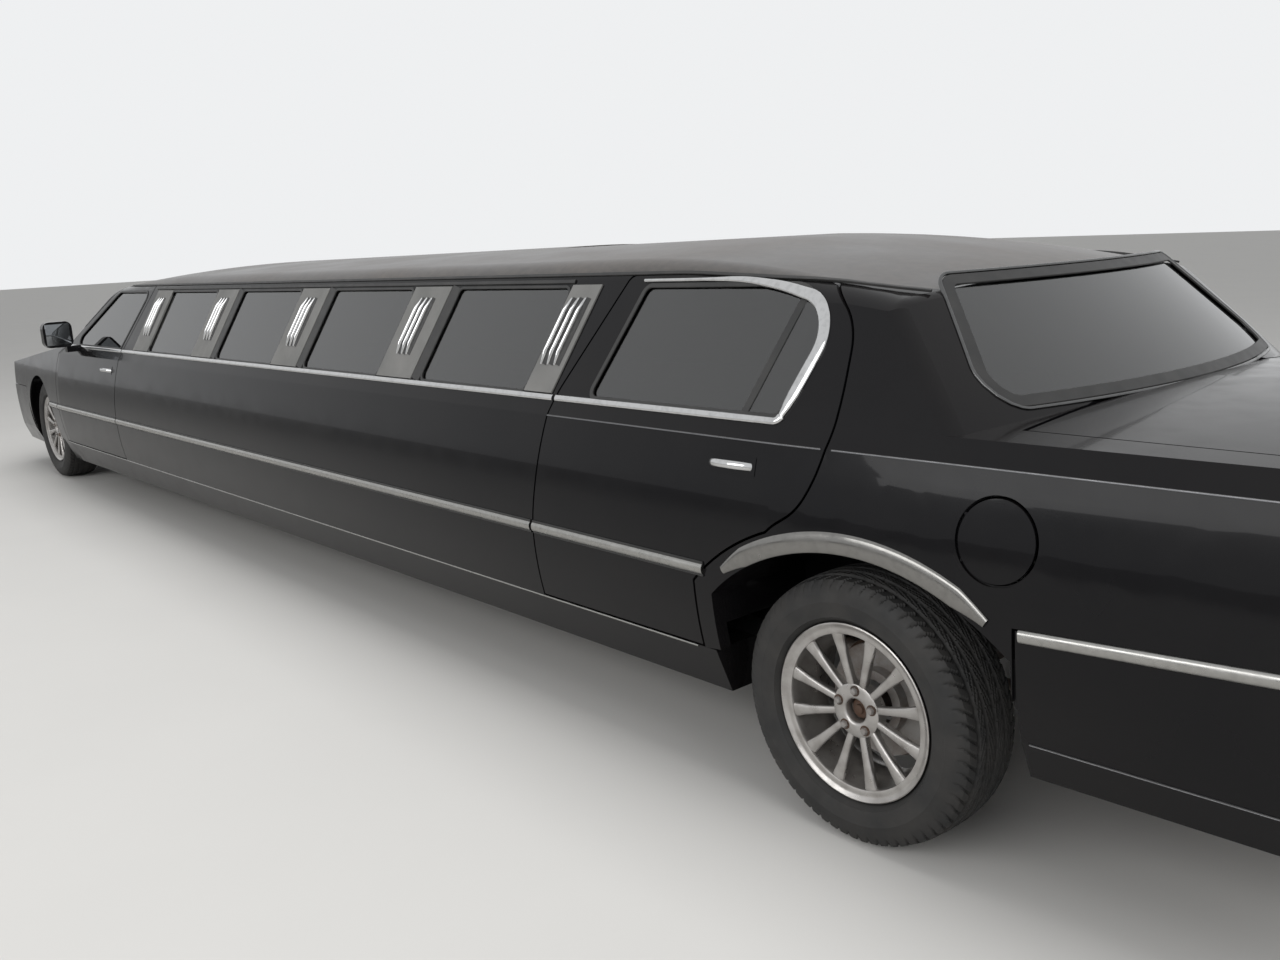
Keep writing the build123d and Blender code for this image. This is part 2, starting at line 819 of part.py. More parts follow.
for web in both_sides(block(
    cowl_x, sill_front_x, sill_inner_y - 60, hinge_axis_y - 60, cowl_low_z - 40, 1000
)):
    front_frame += web
for leaf in hinge_leaves(front_axis_x, pillar_x0 + 10):
    for piece in both_sides(leaf):
        front_frame += piece

# Hood hinges: ears under the hood, pins on the firewall
ear_radius = 12
ear_y = 600
ear_width = 20
hood_axis_x = hood_rear_x + 14
hood_axis_z = (
    hood_rear_z - (hood_axis_x - cowl_x) * tan(radians(hood_slope))
    - drop(ear_y, radius_for(900, 40)) - 20
)


def ear(x, z, top_z):
    """A bored ear below a lid, and the room it fills up to the lid."""
    disc = rod((x, ear_y - ear_width / 2, z), (x, ear_y + ear_width / 2, z), ear_radius)
    stem = block(
        x - ear_radius, x + ear_radius, ear_y - ear_width / 2, ear_y + ear_width / 2, z, top_z
    )
    return disc + stem


def ear_pin(x, z):
    """A pin through an ear."""
    reach = ear_width / 2 + 8
    return rod((x, ear_y - reach, z), (x, ear_y + reach, z), pin_radius)


def ear_bore(x, z):
    """The bore for that pin."""
    return rod((x, ear_y - far, z), (x, ear_y + far, z), pin_radius + running_gap)


hood_ear = ear(hood_axis_x, hood_axis_z, hood_axis_z + 60) & lower_body(panel - 4)
hood_ear = hood_ear - ear_bore(hood_axis_x, hood_axis_z)
for piece in both_sides(hood_ear):
    hood_solid += piece
post_y = ear_y - ear_width / 2 - 8
for plate in (
    block(hood_axis_x - 7, hood_axis_x + 7, post_y, post_y + 6, hood_axis_z - 90, hood_axis_z + 5),
    block(cowl_x + 10, hood_axis_x + 7, post_y, post_y + 6, hood_axis_z - 90, hood_axis_z - 60),
):
    for piece in both_sides(plate):
        front_frame += piece
for piece in both_sides(ear_pin(hood_axis_x, hood_axis_z)):
    front_frame += piece

# Trunk lid hinges
trunk_axis_x = deck_edge_x - 140
trunk_axis_z = deck_crown_z - drop(ear_y, radius_for(belt_y, deck_crown_z - belt_z)) - 22
trunk_ear = ear(trunk_axis_x, trunk_axis_z, trunk_axis_z + 60) & lower_body(panel - 4)
trunk_ear = trunk_ear - ear_bore(trunk_axis_x, trunk_axis_z)
for piece in both_sides(trunk_ear):
    lid_solid += piece
trunk_post = block(
    trunk_axis_x - 5, trunk_axis_x + 5, post_y, post_y + 6, riser_top_z, trunk_axis_z + 4
)
trunk_post = trunk_post + ear_pin(trunk_axis_x, trunk_axis_z)

# Fuel flap hinge
flap_axis_x = fuel_x + fuel_radius - 12
flap_pin_radius = 1
flap_pin_depth = 2.4
flap_pin_half = 54
flap_bracket = 6
flap_axis_y = body_y(flap_axis_x, fuel_z) - flap_pin_depth
flap_fall = body_y(flap_axis_x, fuel_z - 50) - body_y(flap_axis_x, fuel_z + 50)
flap_lean = degrees(atan2(flap_fall, 100))
flap_hinge = Pos(flap_axis_x, flap_axis_y, fuel_z) * Rot(flap_lean, 0, 0)
fuel_flap = fuel_flap - flap_hinge * Cylinder(
    flap_pin_radius + running_gap, 2 * flap_pin_half + 10
)
quarter = quarter + flap_hinge * Cylinder(flap_pin_radius, 2 * flap_pin_half)
cup_depth = 860 - flap_axis_y
for z in (-flap_pin_half, flap_pin_half - flap_bracket):
    quarter = quarter + flap_hinge * block(-3, 3, cup_depth, 0, z, z + flap_bracket)
    fuel_flap = fuel_flap - flap_hinge * block(
        -8, 8, cup_depth, 0.8, z - 3, z + flap_bracket + 3
    )

# Frame rails, cross-members, tank and exhaust
main_rail = block(kick_x, cowl_x - 140, rail_y0, rail_y1, rail_low_z, rail_high_z)
rear_rail_side = face_of([
    (kick_x + 60, rail_low_z),
    (kick_x + 60, rail_high_z),
    (kick_x - 60, rail_high_z),
    (kick_x - 260, rear_rail_z + 85),
    (tail_x + 250, rear_rail_z + 85),
    (tail_x + 60, rear_rail_z - 20),
    (tail_x + 60, rear_rail_z - 80),
    (tail_x + 250, rear_rail_z),
    (kick_x - 260, rear_rail_z),
    (kick_x - 20, rail_low_z),
])
rear_rail = across(rear_rail_side, inner_rail_y0, inner_rail_y1)
front_rail_side = face_of([
    (cowl_x - 200, rail_low_z),
    (cowl_x - 200, rail_high_z),
    (cowl_x, rail_high_z),
    (cowl_x + 140, front_rail_z + 90),
    (frame_front_x, front_rail_z + 90),
    (frame_front_x, front_rail_z),
    (cowl_x + 200, front_rail_z),
    (cowl_x + 60, rail_low_z),
])
front_rail = across(front_rail_side, front_rail_y0, front_rail_y1)
frame = main_rail + rear_rail + front_rail
frame = frame + block(kick_x, kick_x + 60, inner_rail_y0, rail_y1, rail_low_z, rail_high_z)
frame = frame + block(
    cowl_x - 200, cowl_x - 140, front_rail_y0, rail_y1, rail_low_z, rail_high_z
)
frame = frame + mirror(frame, Plane.XZ)
cross_count = 7
cross_pitch = (cowl_x - 170 - kick_x - 30) / (cross_count - 1)
cross_places = [kick_x + 30 + i * cross_pitch for i in range(cross_count)]
for x in cross_places:
    frame = frame + block(x - 30, x + 30, -rail_y0 - 5, rail_y0 + 5, cross_low_z, cross_high_z)
for x0, z0 in ((tail_x + 300, rear_rail_z + 10), (frame_front_x - 60, front_rail_z + 10)):
    half_y = inner_rail_y0 + 5 if x0 < 0 else front_rail_y0 + 5
    frame = frame + block(x0, x0 + 60, -half_y, half_y, z0, z0 + 60)
bumper_wall = 45
for x0, x1, y0, y1, z0, z1 in (
    (tail_x + bumper_wall, tail_x + 62, -480, 480, 420, 520),
    (frame_front_x - 2, nose_x - bumper_wall, -380, 380, front_rail_z, front_rail_z + 90),
):
    frame = frame + block(x0, x1, y0, y1, z0, z1)

exhaust_y = 300
exhaust_radius = 28
exhaust_z = cross_low_z - exhaust_radius - 7
pipe = rod((cowl_x - 100, exhaust_y, exhaust_z), (tail_x + 60, exhaust_y, exhaust_z), exhaust_radius)
bore_pipe = rod((tail_x + 55, exhaust_y, exhaust_z), (tail_x + 200, exhaust_y, exhaust_z), 25)
muffler = fillet(
    block(1250, 1800, exhaust_y - 120, exhaust_y + 120, exhaust_z - 45, exhaust_z + 32)
    .edges().filter_by(Axis.X), 30
)
exhaust = pipe + muffler - bore_pipe
for x in cross_places[1:6]:
    exhaust = exhaust + block(x - 15, x + 15, exhaust_y - 10, exhaust_y + 10, exhaust_z, cross_low_z)

tank_top_z = rear_rail_z - 5
tank = block(tail_x + 260, -450, -420, 420, 300, tank_top_z)
tank = fillet(tank.edges().filter_by(Axis.Y), 40)
tank = tank + block(tail_x + 300, tail_x + 340, -60, 60, tank_top_z - 20, rear_rail_z + 10)

# Floor with tunnel, heel board, seat riser, rear shelf and trunk floor
floor_half = sill_inner_y
floor = block(riser_x, cowl_x, -floor_half, floor_half, floor_z - 20, floor_z)
floor = floor - block(riser_x, cowl_x, -tunnel_half, tunnel_half, 0, floor_z + 1)
for y0, y1 in ((-tunnel_half - sheet, -tunnel_half), (tunnel_half, tunnel_half + sheet)):
    floor = floor + block(riser_x, cowl_x, y0, y1, floor_z - 20, tunnel_top_z)
floor = floor + block(
    riser_x, cowl_x, -tunnel_half - sheet, tunnel_half + sheet, tunnel_top_z, tunnel_top_z + sheet
)
wide = housing_in_y
floor = floor + block(riser_x, riser_x + sheet, -wide, wide, tunnel_top_z, riser_top_z)
floor = floor + block(riser_x, riser_x + sheet, -wide, -tunnel_half, floor_z - 20, riser_top_z)
floor = floor + block(riser_x, riser_x + sheet, tunnel_half, wide, floor_z - 20, riser_top_z)
floor = floor + block(tail_x + 130, riser_x + sheet, -wide, wide, riser_top_z - sheet, riser_top_z)
floor = floor + block(bulkhead_x, bulkhead_x + sheet, -wide, wide, riser_top_z, shelf_z)
floor = floor + block(-330, bulkhead_x + sheet, -wide, wide, shelf_z, shelf_z + sheet)

for piece in both_sides(trunk_post):
    floor = floor + piece

# Seats, bar, partition and dashboard
seat_base_z = floor_z


def seat(x0, y0, y1, depth, back_lean):
    """A seat facing forward: base, cushion and leaning back."""
    side = face_of([
        (x0 + 60, seat_base_z),
        (x0 + 40, seat_base_z + 160),
        (x0 - back_lean, seat_base_z + 760),
        (x0 - back_lean + 110, seat_base_z + 780),
        (x0 + 150, seat_base_z + 300),
        (x0 + depth, seat_base_z + 290),
        (x0 + depth, seat_base_z + 150),
        (x0 + depth - 60, seat_base_z),
    ], [20, 60, 40, 40, 40, 50, 40, 20])
    return across(side, y0, y1)


driver_y = 385
front_seat = seat(cowl_x - 1290, driver_y - 250, driver_y + 260, 620, 130)
rear_bench_side = face_of([
    (bulkhead_x + sheet + 1, riser_top_z),
    (bulkhead_x + sheet + 1, shelf_z - 10),
    (bulkhead_x + 130, shelf_z + 60),
    (bulkhead_x + 330, riser_top_z + 170),
    (riser_x + 440, riser_top_z + 140),
    (riser_x + 440, floor_z + 110),
    (riser_x + 400, floor_z),
    (riser_x + sheet + 140, floor_z),
    (riser_x + sheet + 1, riser_top_z - 60),
    (riser_x + sheet + 1, riser_top_z),
])
rear_bench = across(rear_bench_side, -wide + 20, wide - 20)
rear_bench = rear_bench - block(0, riser_x + 600, -tunnel_half - sheet, tunnel_half + sheet, 0, tunnel_top_z + sheet)
side_bench_profile = face_of([
    (-sill_inner_y + 5, floor_z),
    (-sill_inner_y + 5, floor_z + 600),
    (-sill_inner_y + 110, floor_z + 620),
    (-sill_inner_y + 190, floor_z + 330),
    (-sill_inner_y + 520, floor_z + 310),
    (-sill_inner_y + 520, floor_z + 100),
    (-sill_inner_y + 460, floor_z),
], [0, 30, 40, 40, 50, 40, 0])
bench_x0 = rear_door_front[1][0] + 120
side_bench = along(side_bench_profile, bench_x0, cowl_x - 1900)
bar = block(bench_x0 + 700, bench_x0 + 2900, 470, sill_inner_y - 5, floor_z, floor_z + 420)
bar = bar + block(bench_x0 + 680, bench_x0 + 2920, 450, sill_inner_y - 5, floor_z + 420, floor_z + 450)
partition_x = cowl_x - 1560
partition = block(partition_x, partition_x + 40, -780, 780, floor_z, 900)
partition = partition - block(0, nose_x, -tunnel_half - sheet, tunnel_half + sheet, 0, tunnel_top_z + sheet)
partition = partition + (
    block(partition_x + 8, partition_x + 32, -780, 780, 900, 1600) & greenhouse(pillar_depth + 1)
)

dash = face_of([
    (cowl_x, 640),
    (cowl_x - 300, 640),
    (cowl_x - 380, 780),
    (cowl_x - 400, 930),
    (cowl_x - 330, cowl_low_z - 8),
    (cowl_x, cowl_low_z - 8),
], [0, 60, 40, 30, 20, 0])
dashboard = across(dash, -720, 720)
wheel_lean = 25
wheel_centre = Vector(cowl_x - 560, driver_y, 880)
column_run = Vector(cos(radians(wheel_lean)), 0, -sin(radians(wheel_lean)))
column = rod(wheel_centre - column_run * 5, wheel_centre + column_run * 300, 15)
shroud = rod(wheel_centre + column_run * 60, wheel_centre + column_run * 300, 42)
dashboard = dashboard + shroud + column
steering_frame = Plane(origin=wheel_centre, z_dir=column_run)
steering_wheel = steering_frame * (
    Torus(185, 14)
    + Cylinder(48, 44)
    + Box(350, 30, 12)
    + Pos(0, -90, 0) * Box(30, 180, 12)
    - Cylinder(15 + running_gap, 60)
)

# Engine, gearbox and propeller shaft
shaft_z = 375
engine = block(wheelbase - 330, wheelbase + 380, -300, 300, front_rail_z + 20, 880)
engine = engine + block(wheelbase - 60, wheelbase + 20, -front_rail_y0, front_rail_y0, 420, 460)
radiator = block(nose_x - 205, nose_x - 165, -front_rail_y1 + 20, front_rail_y1 - 20, front_rail_z + 90, 860)
driveline = rod((wheelbase - 330, 0, shaft_z + 20), (cowl_x + 21, 0, shaft_z + 20), 120)
driveline = driveline + rod((cowl_x + 21, 0, shaft_z), (cowl_x - 260, 0, shaft_z), 48)
diff_nose_x = 170
driveline = driveline + rod((cowl_x - 260, 0, shaft_z), (diff_nose_x, 0, hub_z), 35)

# Wheels

def ring(points):
    """A body turned about the wheel's axle from (radius, outward) points."""
    return revolve(make_face(Polyline(*points, close=True)), axis=Axis.Y)


def tyre():
    """A tyre with rounded shoulders."""
    half = tyre_width / 2
    bead = rim_width / 2 - 12
    bore = bead_radius + running_gap
    points = [
        (bore, -bead),
        (lip_radius + 2, -bead),
        (lip_radius + 8, -half + 12),
        (tyre_radius - 60, -half),
        (tyre_radius - 14, -half + 14),
        (tyre_radius, -half + 40),
        (tyre_radius, half - 40),
        (tyre_radius - 14, half - 14),
        (tyre_radius - 60, half),
        (lip_radius + 8, half - 12),
        (lip_radius + 2, bead),
        (bore, bead),
    ]
    return ring(points)



def rim():
    """An alloy wheel with a brake disc on its hub."""
    half = rim_width / 2
    barrel = ring([
        (bead_radius - 14, -half),
        (lip_radius, -half),
        (lip_radius, -half + 6),
        (bead_radius, -half + 10),
        (bead_radius, half - 10),
        (lip_radius, half - 6),
        (lip_radius, half),
        (bead_radius - 14, half),
    ])
    disc = ring([
        (34, half - 26),
        (75, half - 18),
        (bead_radius - 10, half - 8),
        (bead_radius - 10, half - 30),
        (75, half - 54),
        (34, half - 54),
    ])
    window = face_of([(88, -10), (88, 10), (190, 34), (190, -34)], 7)
    cutter = extrude(Plane.XZ * window, 300, both=True)
    for i in range(spoke_count):
        disc -= Rot(0, 360 / spoke_count * (i + 0.5), 0) * cutter
    hub = ring([
        (axle_radius + running_gap, -half + 50),
        (70, -half + 50),
        (70, half - 50),
        (axle_radius + running_gap, half - 50),
    ])
    rotor = ring([(60, -half + 50), (145, -half + 50), (145, -half + 74), (60, -half + 74)])
    return barrel + disc + hub + rotor


# Steering knuckles, drawn about the wheel's centre
kingpin_radius = 9
post_low = -150
post_high = 150


def knuckle():
    """A left knuckle with its kingpin bores and stub axle."""
    pin_y = -kingpin_inset
    body = block(-22, 22, pin_y - 22, pin_y + 22, post_low, post_high)
    body += rod((0, pin_y, 0), (0, pin_y + 30, 0), 48)
    body += block(-140, 0, pin_y - 20, pin_y + 4, -70, -50)
    for z in (post_low, post_high):
        body -= Pos(0, pin_y, z) * Cylinder(kingpin_radius + running_gap, 60)
    return body + rod((0, pin_y, 0), (0, rim_width / 2 - 50, 0), axle_radius)


def control_arm(z, z_in):
    """A wishbone from the cross-member to the kingpin, about the left wheel's centre."""
    pin_y = -kingpin_inset
    inner_y = front_rail_y1 - front_track / 2 + 12
    side = [(-20, pin_y + 16), (20, pin_y + 16), (130, inner_y), (-130, inner_y)]
    arm = upward(face_of(side), z - 12, z + 12)
    arm = arm + block(-140, 140, inner_y - 12, inner_y + 12, min(z - 12, z_in), max(z + 12, z_in))
    way = 1 if z < 0 else -1
    pin = Pos(0, pin_y, z + way * 21) * Cylinder(kingpin_radius, 42)
    return arm + pin


arm_low = post_low - 14
arm_high = post_high + 14
suspension = control_arm(arm_low, -60) + control_arm(arm_high, 60)
world_wheel = Pos(wheelbase, front_track / 2, hub_z)
member = block(
    wheelbase - 150, wheelbase + 150, -front_rail_y1 - 4, front_rail_y1 + 4, front_rail_z - 60, front_rail_z
)
member = member - block(wheelbase - 400, wheelbase + 400, -330, 330, front_rail_z - 30, front_rail_z + 1)
side_rise = block(
    wheelbase - 150, wheelbase + 150, front_rail_y1, front_rail_y1 + 24, front_rail_z - 60, front_rail_z + 240
)

tip = Rot(0, body_rake, 0)
front_suspension = tip * (member + side_rise + mirror(side_rise, Plane.XZ))
for piece in both_sides(world_wheel * suspension):
    front_suspension = front_suspension + piece

# Rear axle with its springs and arms, upright
tube_radius = 42
half_rear = rear_track / 2
axle = rod((0, -half_rear + 70, hub_z), (0, half_rear - 70, hub_z), tube_radius)
axle = axle + rod((0, -half_rear - rim_width / 2 + 52, hub_z), (0, half_rear + rim_width / 2 - 52, hub_z), axle_radius)
axle = axle + Pos(0, 0, hub_z) * Sphere(130)
axle = axle + rod((0, 0, hub_z), (diff_nose_x - 0.8, 0, hub_z), 50)
rail_mid_y = (inner_rail_y0 + inner_rail_y1) / 2
for y in (-rail_mid_y, rail_mid_y):
    axle = axle + rod((0, y, hub_z), (0, y, rear_rail_z), 38)
axle = axle - tip * block(-200, 200, -far, far, rear_rail_z, rear_rail_z + 200)

# The car's box is centred on the origin
ends = (tip * front_bumper).bounding_box(), (tip * rear_bumper).bounding_box()
centre = Pos(-(ends[0].max.X + ends[1].min.X) / 2, 0, 0)


def save(name, solids, tipped=True):
    """One node's solids in the car's own frame."""
    placed = [centre * (tip * s if tipped else s) for s in solids]
    shape = placed[0] if len(placed) == 1 else Compound(children=placed)
    export_step(shape, "parts/" + name + ".step")


for name, solids in (
    ("roof_panel", roof.solids()),
    ("side_panels", solids_of(*both_sides(side_panel))),
    ("rear_quarters", solids_of(quarter, right_quarter)),
    ("front_fenders", solids_of(*both_sides(fender))),
    ("fixed_glass", fixed_panes),
    ("windshield_frame", front_frame.solids()),
    ("front_bumper", front_bumper.solids()),
    ("rear_bumper", rear_bumper.solids()),
    ("grille", grille_solid.solids()),
    ("headlamps", solids_of(*both_sides(front_lamp))),
    ("tail_lamps", solids_of(*both_sides(lamp_solid))),
    ("hood", hood_solid.solids()),
    ("trunk_lid", lid_solid.solids()),
    ("fuel_door", fuel_flap.solids()),
    ("chassis_frame", frame.solids()),
    ("floor_pan", floor.solids()),
    ("exhaust_pipes", solids_of(*both_sides(exhaust))),
    ("fuel_tank", tank.solids()),
    ("engine_block", engine.solids()),
    ("radiator", radiator.solids()),
    ("driveline", driveline.solids()),
    ("front_seats", solids_of(*both_sides(front_seat))),
    ("rear_bench", rear_bench.solids()),
    ("side_bench", side_bench.solids()),
    ("bar_cabinet", bar.solids()),
    ("partition_wall", partition.solids()),
    ("dashboard", dashboard.solids()),
    ("steering_wheel", steering_wheel.solids()),
):
    save(name, solids)

for name, shape in (
    ("rear_door", rear_door),
    ("rear_door_glass", rear_door_pane),
    ("front_door", front_door),
    ("front_door_glass", front_door_pane),
):
    for side, piece in zip(("left", "right"), both_sides(shape)):
        save(name + "_" + side, piece.solids())

save("front_suspension", front_suspension.solids(), False)
save("rear_axle", axle.solids(), False)
wheel_places = (
    ("front", wheelbase, front_track / 2),
    ("rear", 0, rear_track / 2),
)
for end, x, y in wheel_places:
    for name, shape in (("tyre_", tyre()), ("rim_", rim())):
        placed = Pos(x, y, hub_z) * shape
        for side, piece in zip(("left", "right"), both_sides(placed)):
            save(name + end + "_" + side, piece.solids(), False)
for side, piece in zip(("left", "right"), both_sides(world_wheel * knuckle())):
    save("knuckle_" + side, piece.solids(), False)
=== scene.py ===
import json
import math

import bmesh
import bpy
import numpy as np
from mathutils import Matrix, Vector


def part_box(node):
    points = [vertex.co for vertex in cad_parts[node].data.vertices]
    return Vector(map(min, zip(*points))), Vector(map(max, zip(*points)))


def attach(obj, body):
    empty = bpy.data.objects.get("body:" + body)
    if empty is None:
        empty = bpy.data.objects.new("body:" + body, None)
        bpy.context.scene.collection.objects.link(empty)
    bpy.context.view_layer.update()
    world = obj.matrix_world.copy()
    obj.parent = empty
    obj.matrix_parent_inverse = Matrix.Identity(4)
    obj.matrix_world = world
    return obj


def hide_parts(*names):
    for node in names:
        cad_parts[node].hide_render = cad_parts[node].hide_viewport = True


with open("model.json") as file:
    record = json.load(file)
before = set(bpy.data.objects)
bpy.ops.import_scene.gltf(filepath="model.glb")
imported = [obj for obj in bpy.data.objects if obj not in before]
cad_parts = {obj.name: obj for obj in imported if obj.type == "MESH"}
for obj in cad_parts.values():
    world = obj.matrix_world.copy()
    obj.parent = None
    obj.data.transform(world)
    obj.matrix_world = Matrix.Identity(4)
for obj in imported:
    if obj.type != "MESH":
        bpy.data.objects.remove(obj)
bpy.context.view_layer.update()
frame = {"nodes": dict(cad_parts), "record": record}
nodes = frame["nodes"]
scene = bpy.context.scene


def nodeCentre(name):
    low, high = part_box(name)
    return (low + high) / 2


# the car's own frame: x forward from the rear hubs, z up from the road, tipped nose down
rearHub = nodeCentre("rim_rear_left")
frontHub = nodeCentre("rim_front_left")
wheelbase = frontHub.x - rearHub.x
cowlX = wheelbase - 0.541
bodyRake = math.radians(0.8)
rakeTurn = Matrix.Rotation(bodyRake, 4, "Y")
print("frame loaded, wheelbase", round(wheelbase, 3))


def toRow(points):
    # from the car's own frame into the row frame
    p = np.asarray(points, float).reshape(-1, 3)
    c, s = math.cos(bodyRake), math.sin(bodyRake)
    return np.column_stack([
        p[:, 0] * c + p[:, 2] * s + rearHub.x, p[:, 1], p[:, 2] * c - p[:, 0] * s
    ])


# materials

def colour(value):
    return (*value, 1.0)[:4] if isinstance(value, tuple) else value


class Shading:
    # each call adds a node to a tree and gives back the socket to use
    def __init__(self, tree):
        self.tree = tree

    def fill(self, socket, value):
        if isinstance(value, bpy.types.NodeSocket):
            self.tree.links.new(value, socket)
        else:
            socket.default_value = value

    def node(self, kind, inputs, **settings):
        made = self.tree.nodes.new("ShaderNode" + kind)
        for key, value in settings.items():
            setattr(made, key, value)
        for key, value in inputs.items():
            self.fill(made.inputs[key], value)
        return made

    def spread(self, factor, low, high, outLow=0.0, outHigh=1.0):
        return self.node("MapRange", {
            "Value": factor, "From Min": low, "From Max": high, "To Min": outLow, "To Max": outHigh
        }).outputs["Result"]

    def maths(self, operation, a, b):
        return self.node("Math", {0: a, 1: b}, operation=operation).outputs[0]


class Finish(Shading):
    # one procedural material
    def __init__(self, name, **values):
        self.mat = bpy.data.materials.new(name)
        self.mat.use_nodes = True
        super().__init__(self.mat.node_tree)
        self.shader = self.tree.nodes["Principled BSDF"]
        self.place = self.node("TexCoord", {}).outputs["Object"]
        for key, value in values.items():
            self.set(key.replace("_", " "), value)

    def set(self, socket, value):
        self.fill(self.shader.inputs[socket], colour(value))

    def stretched(self, scale):
        return self.node("Mapping", {"Vector": self.place, "Scale": scale}).outputs[0]

    def noise(self, scale, detail, stretch=None, rough=0.5):
        return self.node("TexNoise", {
            "Vector": self.stretched(stretch) if stretch else self.place,
            "Scale": scale, "Detail": detail, "Roughness": rough
        }).outputs["Fac"]

    def cloud(self, scale, detail, *ends):
        # noise with a part of its range spread out: low, high and, if wanted, what they become
        return self.spread(self.noise(scale, detail), *ends)

    def mix(self, factor, first, second):
        inputs = {0: factor, 6: colour(first), 7: colour(second)}
        return self.node("Mix", inputs, data_type="RGBA").outputs[2]

    def bump(self, height, strength, distance):
        made = self.node("Bump", {"Height": height, "Strength": strength, "Distance": distance})
        self.set("Normal", made.outputs[0])

    def facingUp(self):
        # 1 on faces that look at the sky, 0 on upright and lower ones
        normal = self.node("NewGeometry", {}).outputs["Normal"]
        return self.spread(self.node("SeparateXYZ", {0: normal}).outputs["Z"], 0.15, 0.95)

    def low(self, top, bottom):
        # 1 near the road, 0 above top
        return self.spread(self.node("SeparateXYZ", {0: self.place}).outputs["Z"], top, bottom)


paintLook = {
    "colour": (0.004, 0.004, 0.005), "dust": (0.10, 0.085, 0.07),
    "dustAmount": 0.03, "lowDust": 0.03, "topDust": 0.04,
}


def bodyPaint():
    f = Finish("glossBlackPaint", Coat_Weight=0.2, Coat_Roughness=0.03, IOR=1.5,
               Specular_IOR_Level=0.08)
    film = f.maths("MULTIPLY", f.cloud(2.2, 5.0, 0.35, 0.75), paintLook["dustAmount"])
    for layer, share in ((f.low(0.75, 0.25), paintLook["lowDust"]), (f.facingUp(), paintLook["topDust"])):
        film = f.maths("ADD", film, f.maths("MULTIPLY", layer, share))
    f.set("Base Color", f.mix(film, paintLook["colour"], paintLook["dust"]))
    f.set("Roughness", f.cloud(9.0, 3.0, 0.3, 0.8, 0.12, 0.26))
    f.bump(f.noise(130.0, 2.0), 0.02, 0.0004)
    return f.mat


def roofPaint():
    f = Finish("dustyRoofPaint", Coat_Weight=0.25, Coat_Roughness=0.22)
    blotch = f.spread(f.noise(1.6, 6.0, (1, 1.6, 1)), 0.3, 0.7)
    dust = f.maths("ADD", f.maths("MULTIPLY", blotch, 0.6), f.cloud(38.0, 4.0, 0.35, 0.7, 0.0, 0.35))
    f.set("Base Color", f.mix(dust, (0.020, 0.018, 0.017), (0.070, 0.059, 0.051)))
    f.set("Roughness", f.spread(blotch, 0.0, 1.0, 0.34, 0.52))
    f.bump(f.noise(420.0, 2.0), 0.05, 0.0003)
    return f.mat


def clear(name, colour, index, rough):
    f = Finish(name, Base_Color=colour, IOR=index, Transmission_Weight=1.0)
    f.set("Roughness", f.cloud(*rough))
    return f.mat


def coated(name, tones, cloud, amount=None, rough=None, bump=None, **values):
    # two tones mixed by a cloud of noise; bump is noise scale, detail, strength and distance
    f = Finish(name, **values)
    factor = f.cloud(*cloud)
    if amount:
        factor = f.maths("MULTIPLY", factor, amount)
    f.set("Base Color", f.mix(factor, *tones))
    if rough:
        f.set("Roughness", f.cloud(*rough))
    if bump:
        f.bump(f.noise(*bump[:2]), *bump[2:])
    return f.mat


def lampRed():
    f = Finish("redLamp", IOR=1.49, Coat_Weight=0.8, Coat_Roughness=0.05, Roughness=0.18)
    ribs = f.node("TexWave", {"Vector": f.place, "Scale": 26.0}, bands_direction="Z").outputs["Fac"]
    f.set("Base Color", f.mix(f.spread(ribs, 0.0, 1.0), (0.11, 0.002, 0.003), (0.30, 0.008, 0.008)))
    f.bump(ribs, 0.25, 0.002)
    return f.mat


def chrome(name, tone, rough):
    return coated(name, (tone, tuple(t * 0.55 for t in tone)), (60.0, 5.0, 0.45, 0.75), 0.35,
                  (14.0, 4.0, 0.3, 0.8, rough * 0.7, rough * 2.0), Metallic=1.0)


def alloy():
    return coated("silverAlloy", ((0.40, 0.385, 0.37), (0.14, 0.125, 0.11)), (22.0, 6.0, 0.42, 0.78),
                  0.55, (40.0, 3.0, 0.3, 0.7, 0.26, 0.42), (300.0, 2.0, 0.06, 0.0003),
                  Metallic=0.85, Coat_Weight=0.3, Coat_Roughness=0.15)


def rustySteel(name, clean, rust, amount, rough=0.6):
    f = Finish(name, Metallic=0.4)
    patch = f.spread(f.noise(16.0, 7.0, rough=0.65), 0.40, 0.66)
    f.set("Base Color", f.mix(f.maths("MULTIPLY", patch, amount), clean, rust))
    f.set("Roughness", f.spread(patch, 0.0, 1.0, rough * 0.7, min(1.0, rough * 1.25)))
    f.bump(f.noise(90.0, 5.0), 0.25, 0.0012)
    return f.mat


def rubber(name, tone, dust, rough=0.75):
    return coated(name, (tone, dust), (11.0, 6.0, 0.35, 0.75), None,
                  (25.0, 3.0, 0.3, 0.7, rough * 0.85, rough), (260.0, 3.0, 0.15, 0.0006))


def grained(name, tone, other, scale=350.0, rough=0.55):
    # moulded plastic or leather: fine cells pressed in, with a slow change of tone
    f = Finish(name)
    f.set("Base Color", f.mix(f.cloud(6.0, 5.0, 0.3, 0.75), tone, other))
    f.set("Roughness", f.cloud(18.0, 4.0, 0.3, 0.7, rough * 0.85, rough * 1.1))
    grain = f.node("TexVoronoi", {"Vector": f.place, "Scale": scale}).outputs["Distance"]
    f.bump(grain, 0.35, 0.0006)
    return f.mat


def carpet():
    return coated("darkCarpet", ((0.012, 0.012, 0.013), (0.05, 0.05, 0.052)), (420.0, 3.0, 0.3, 0.7),
                  bump=(700.0, 2.0, 0.5, 0.002), Roughness=0.95, Sheen_Weight=0.3)


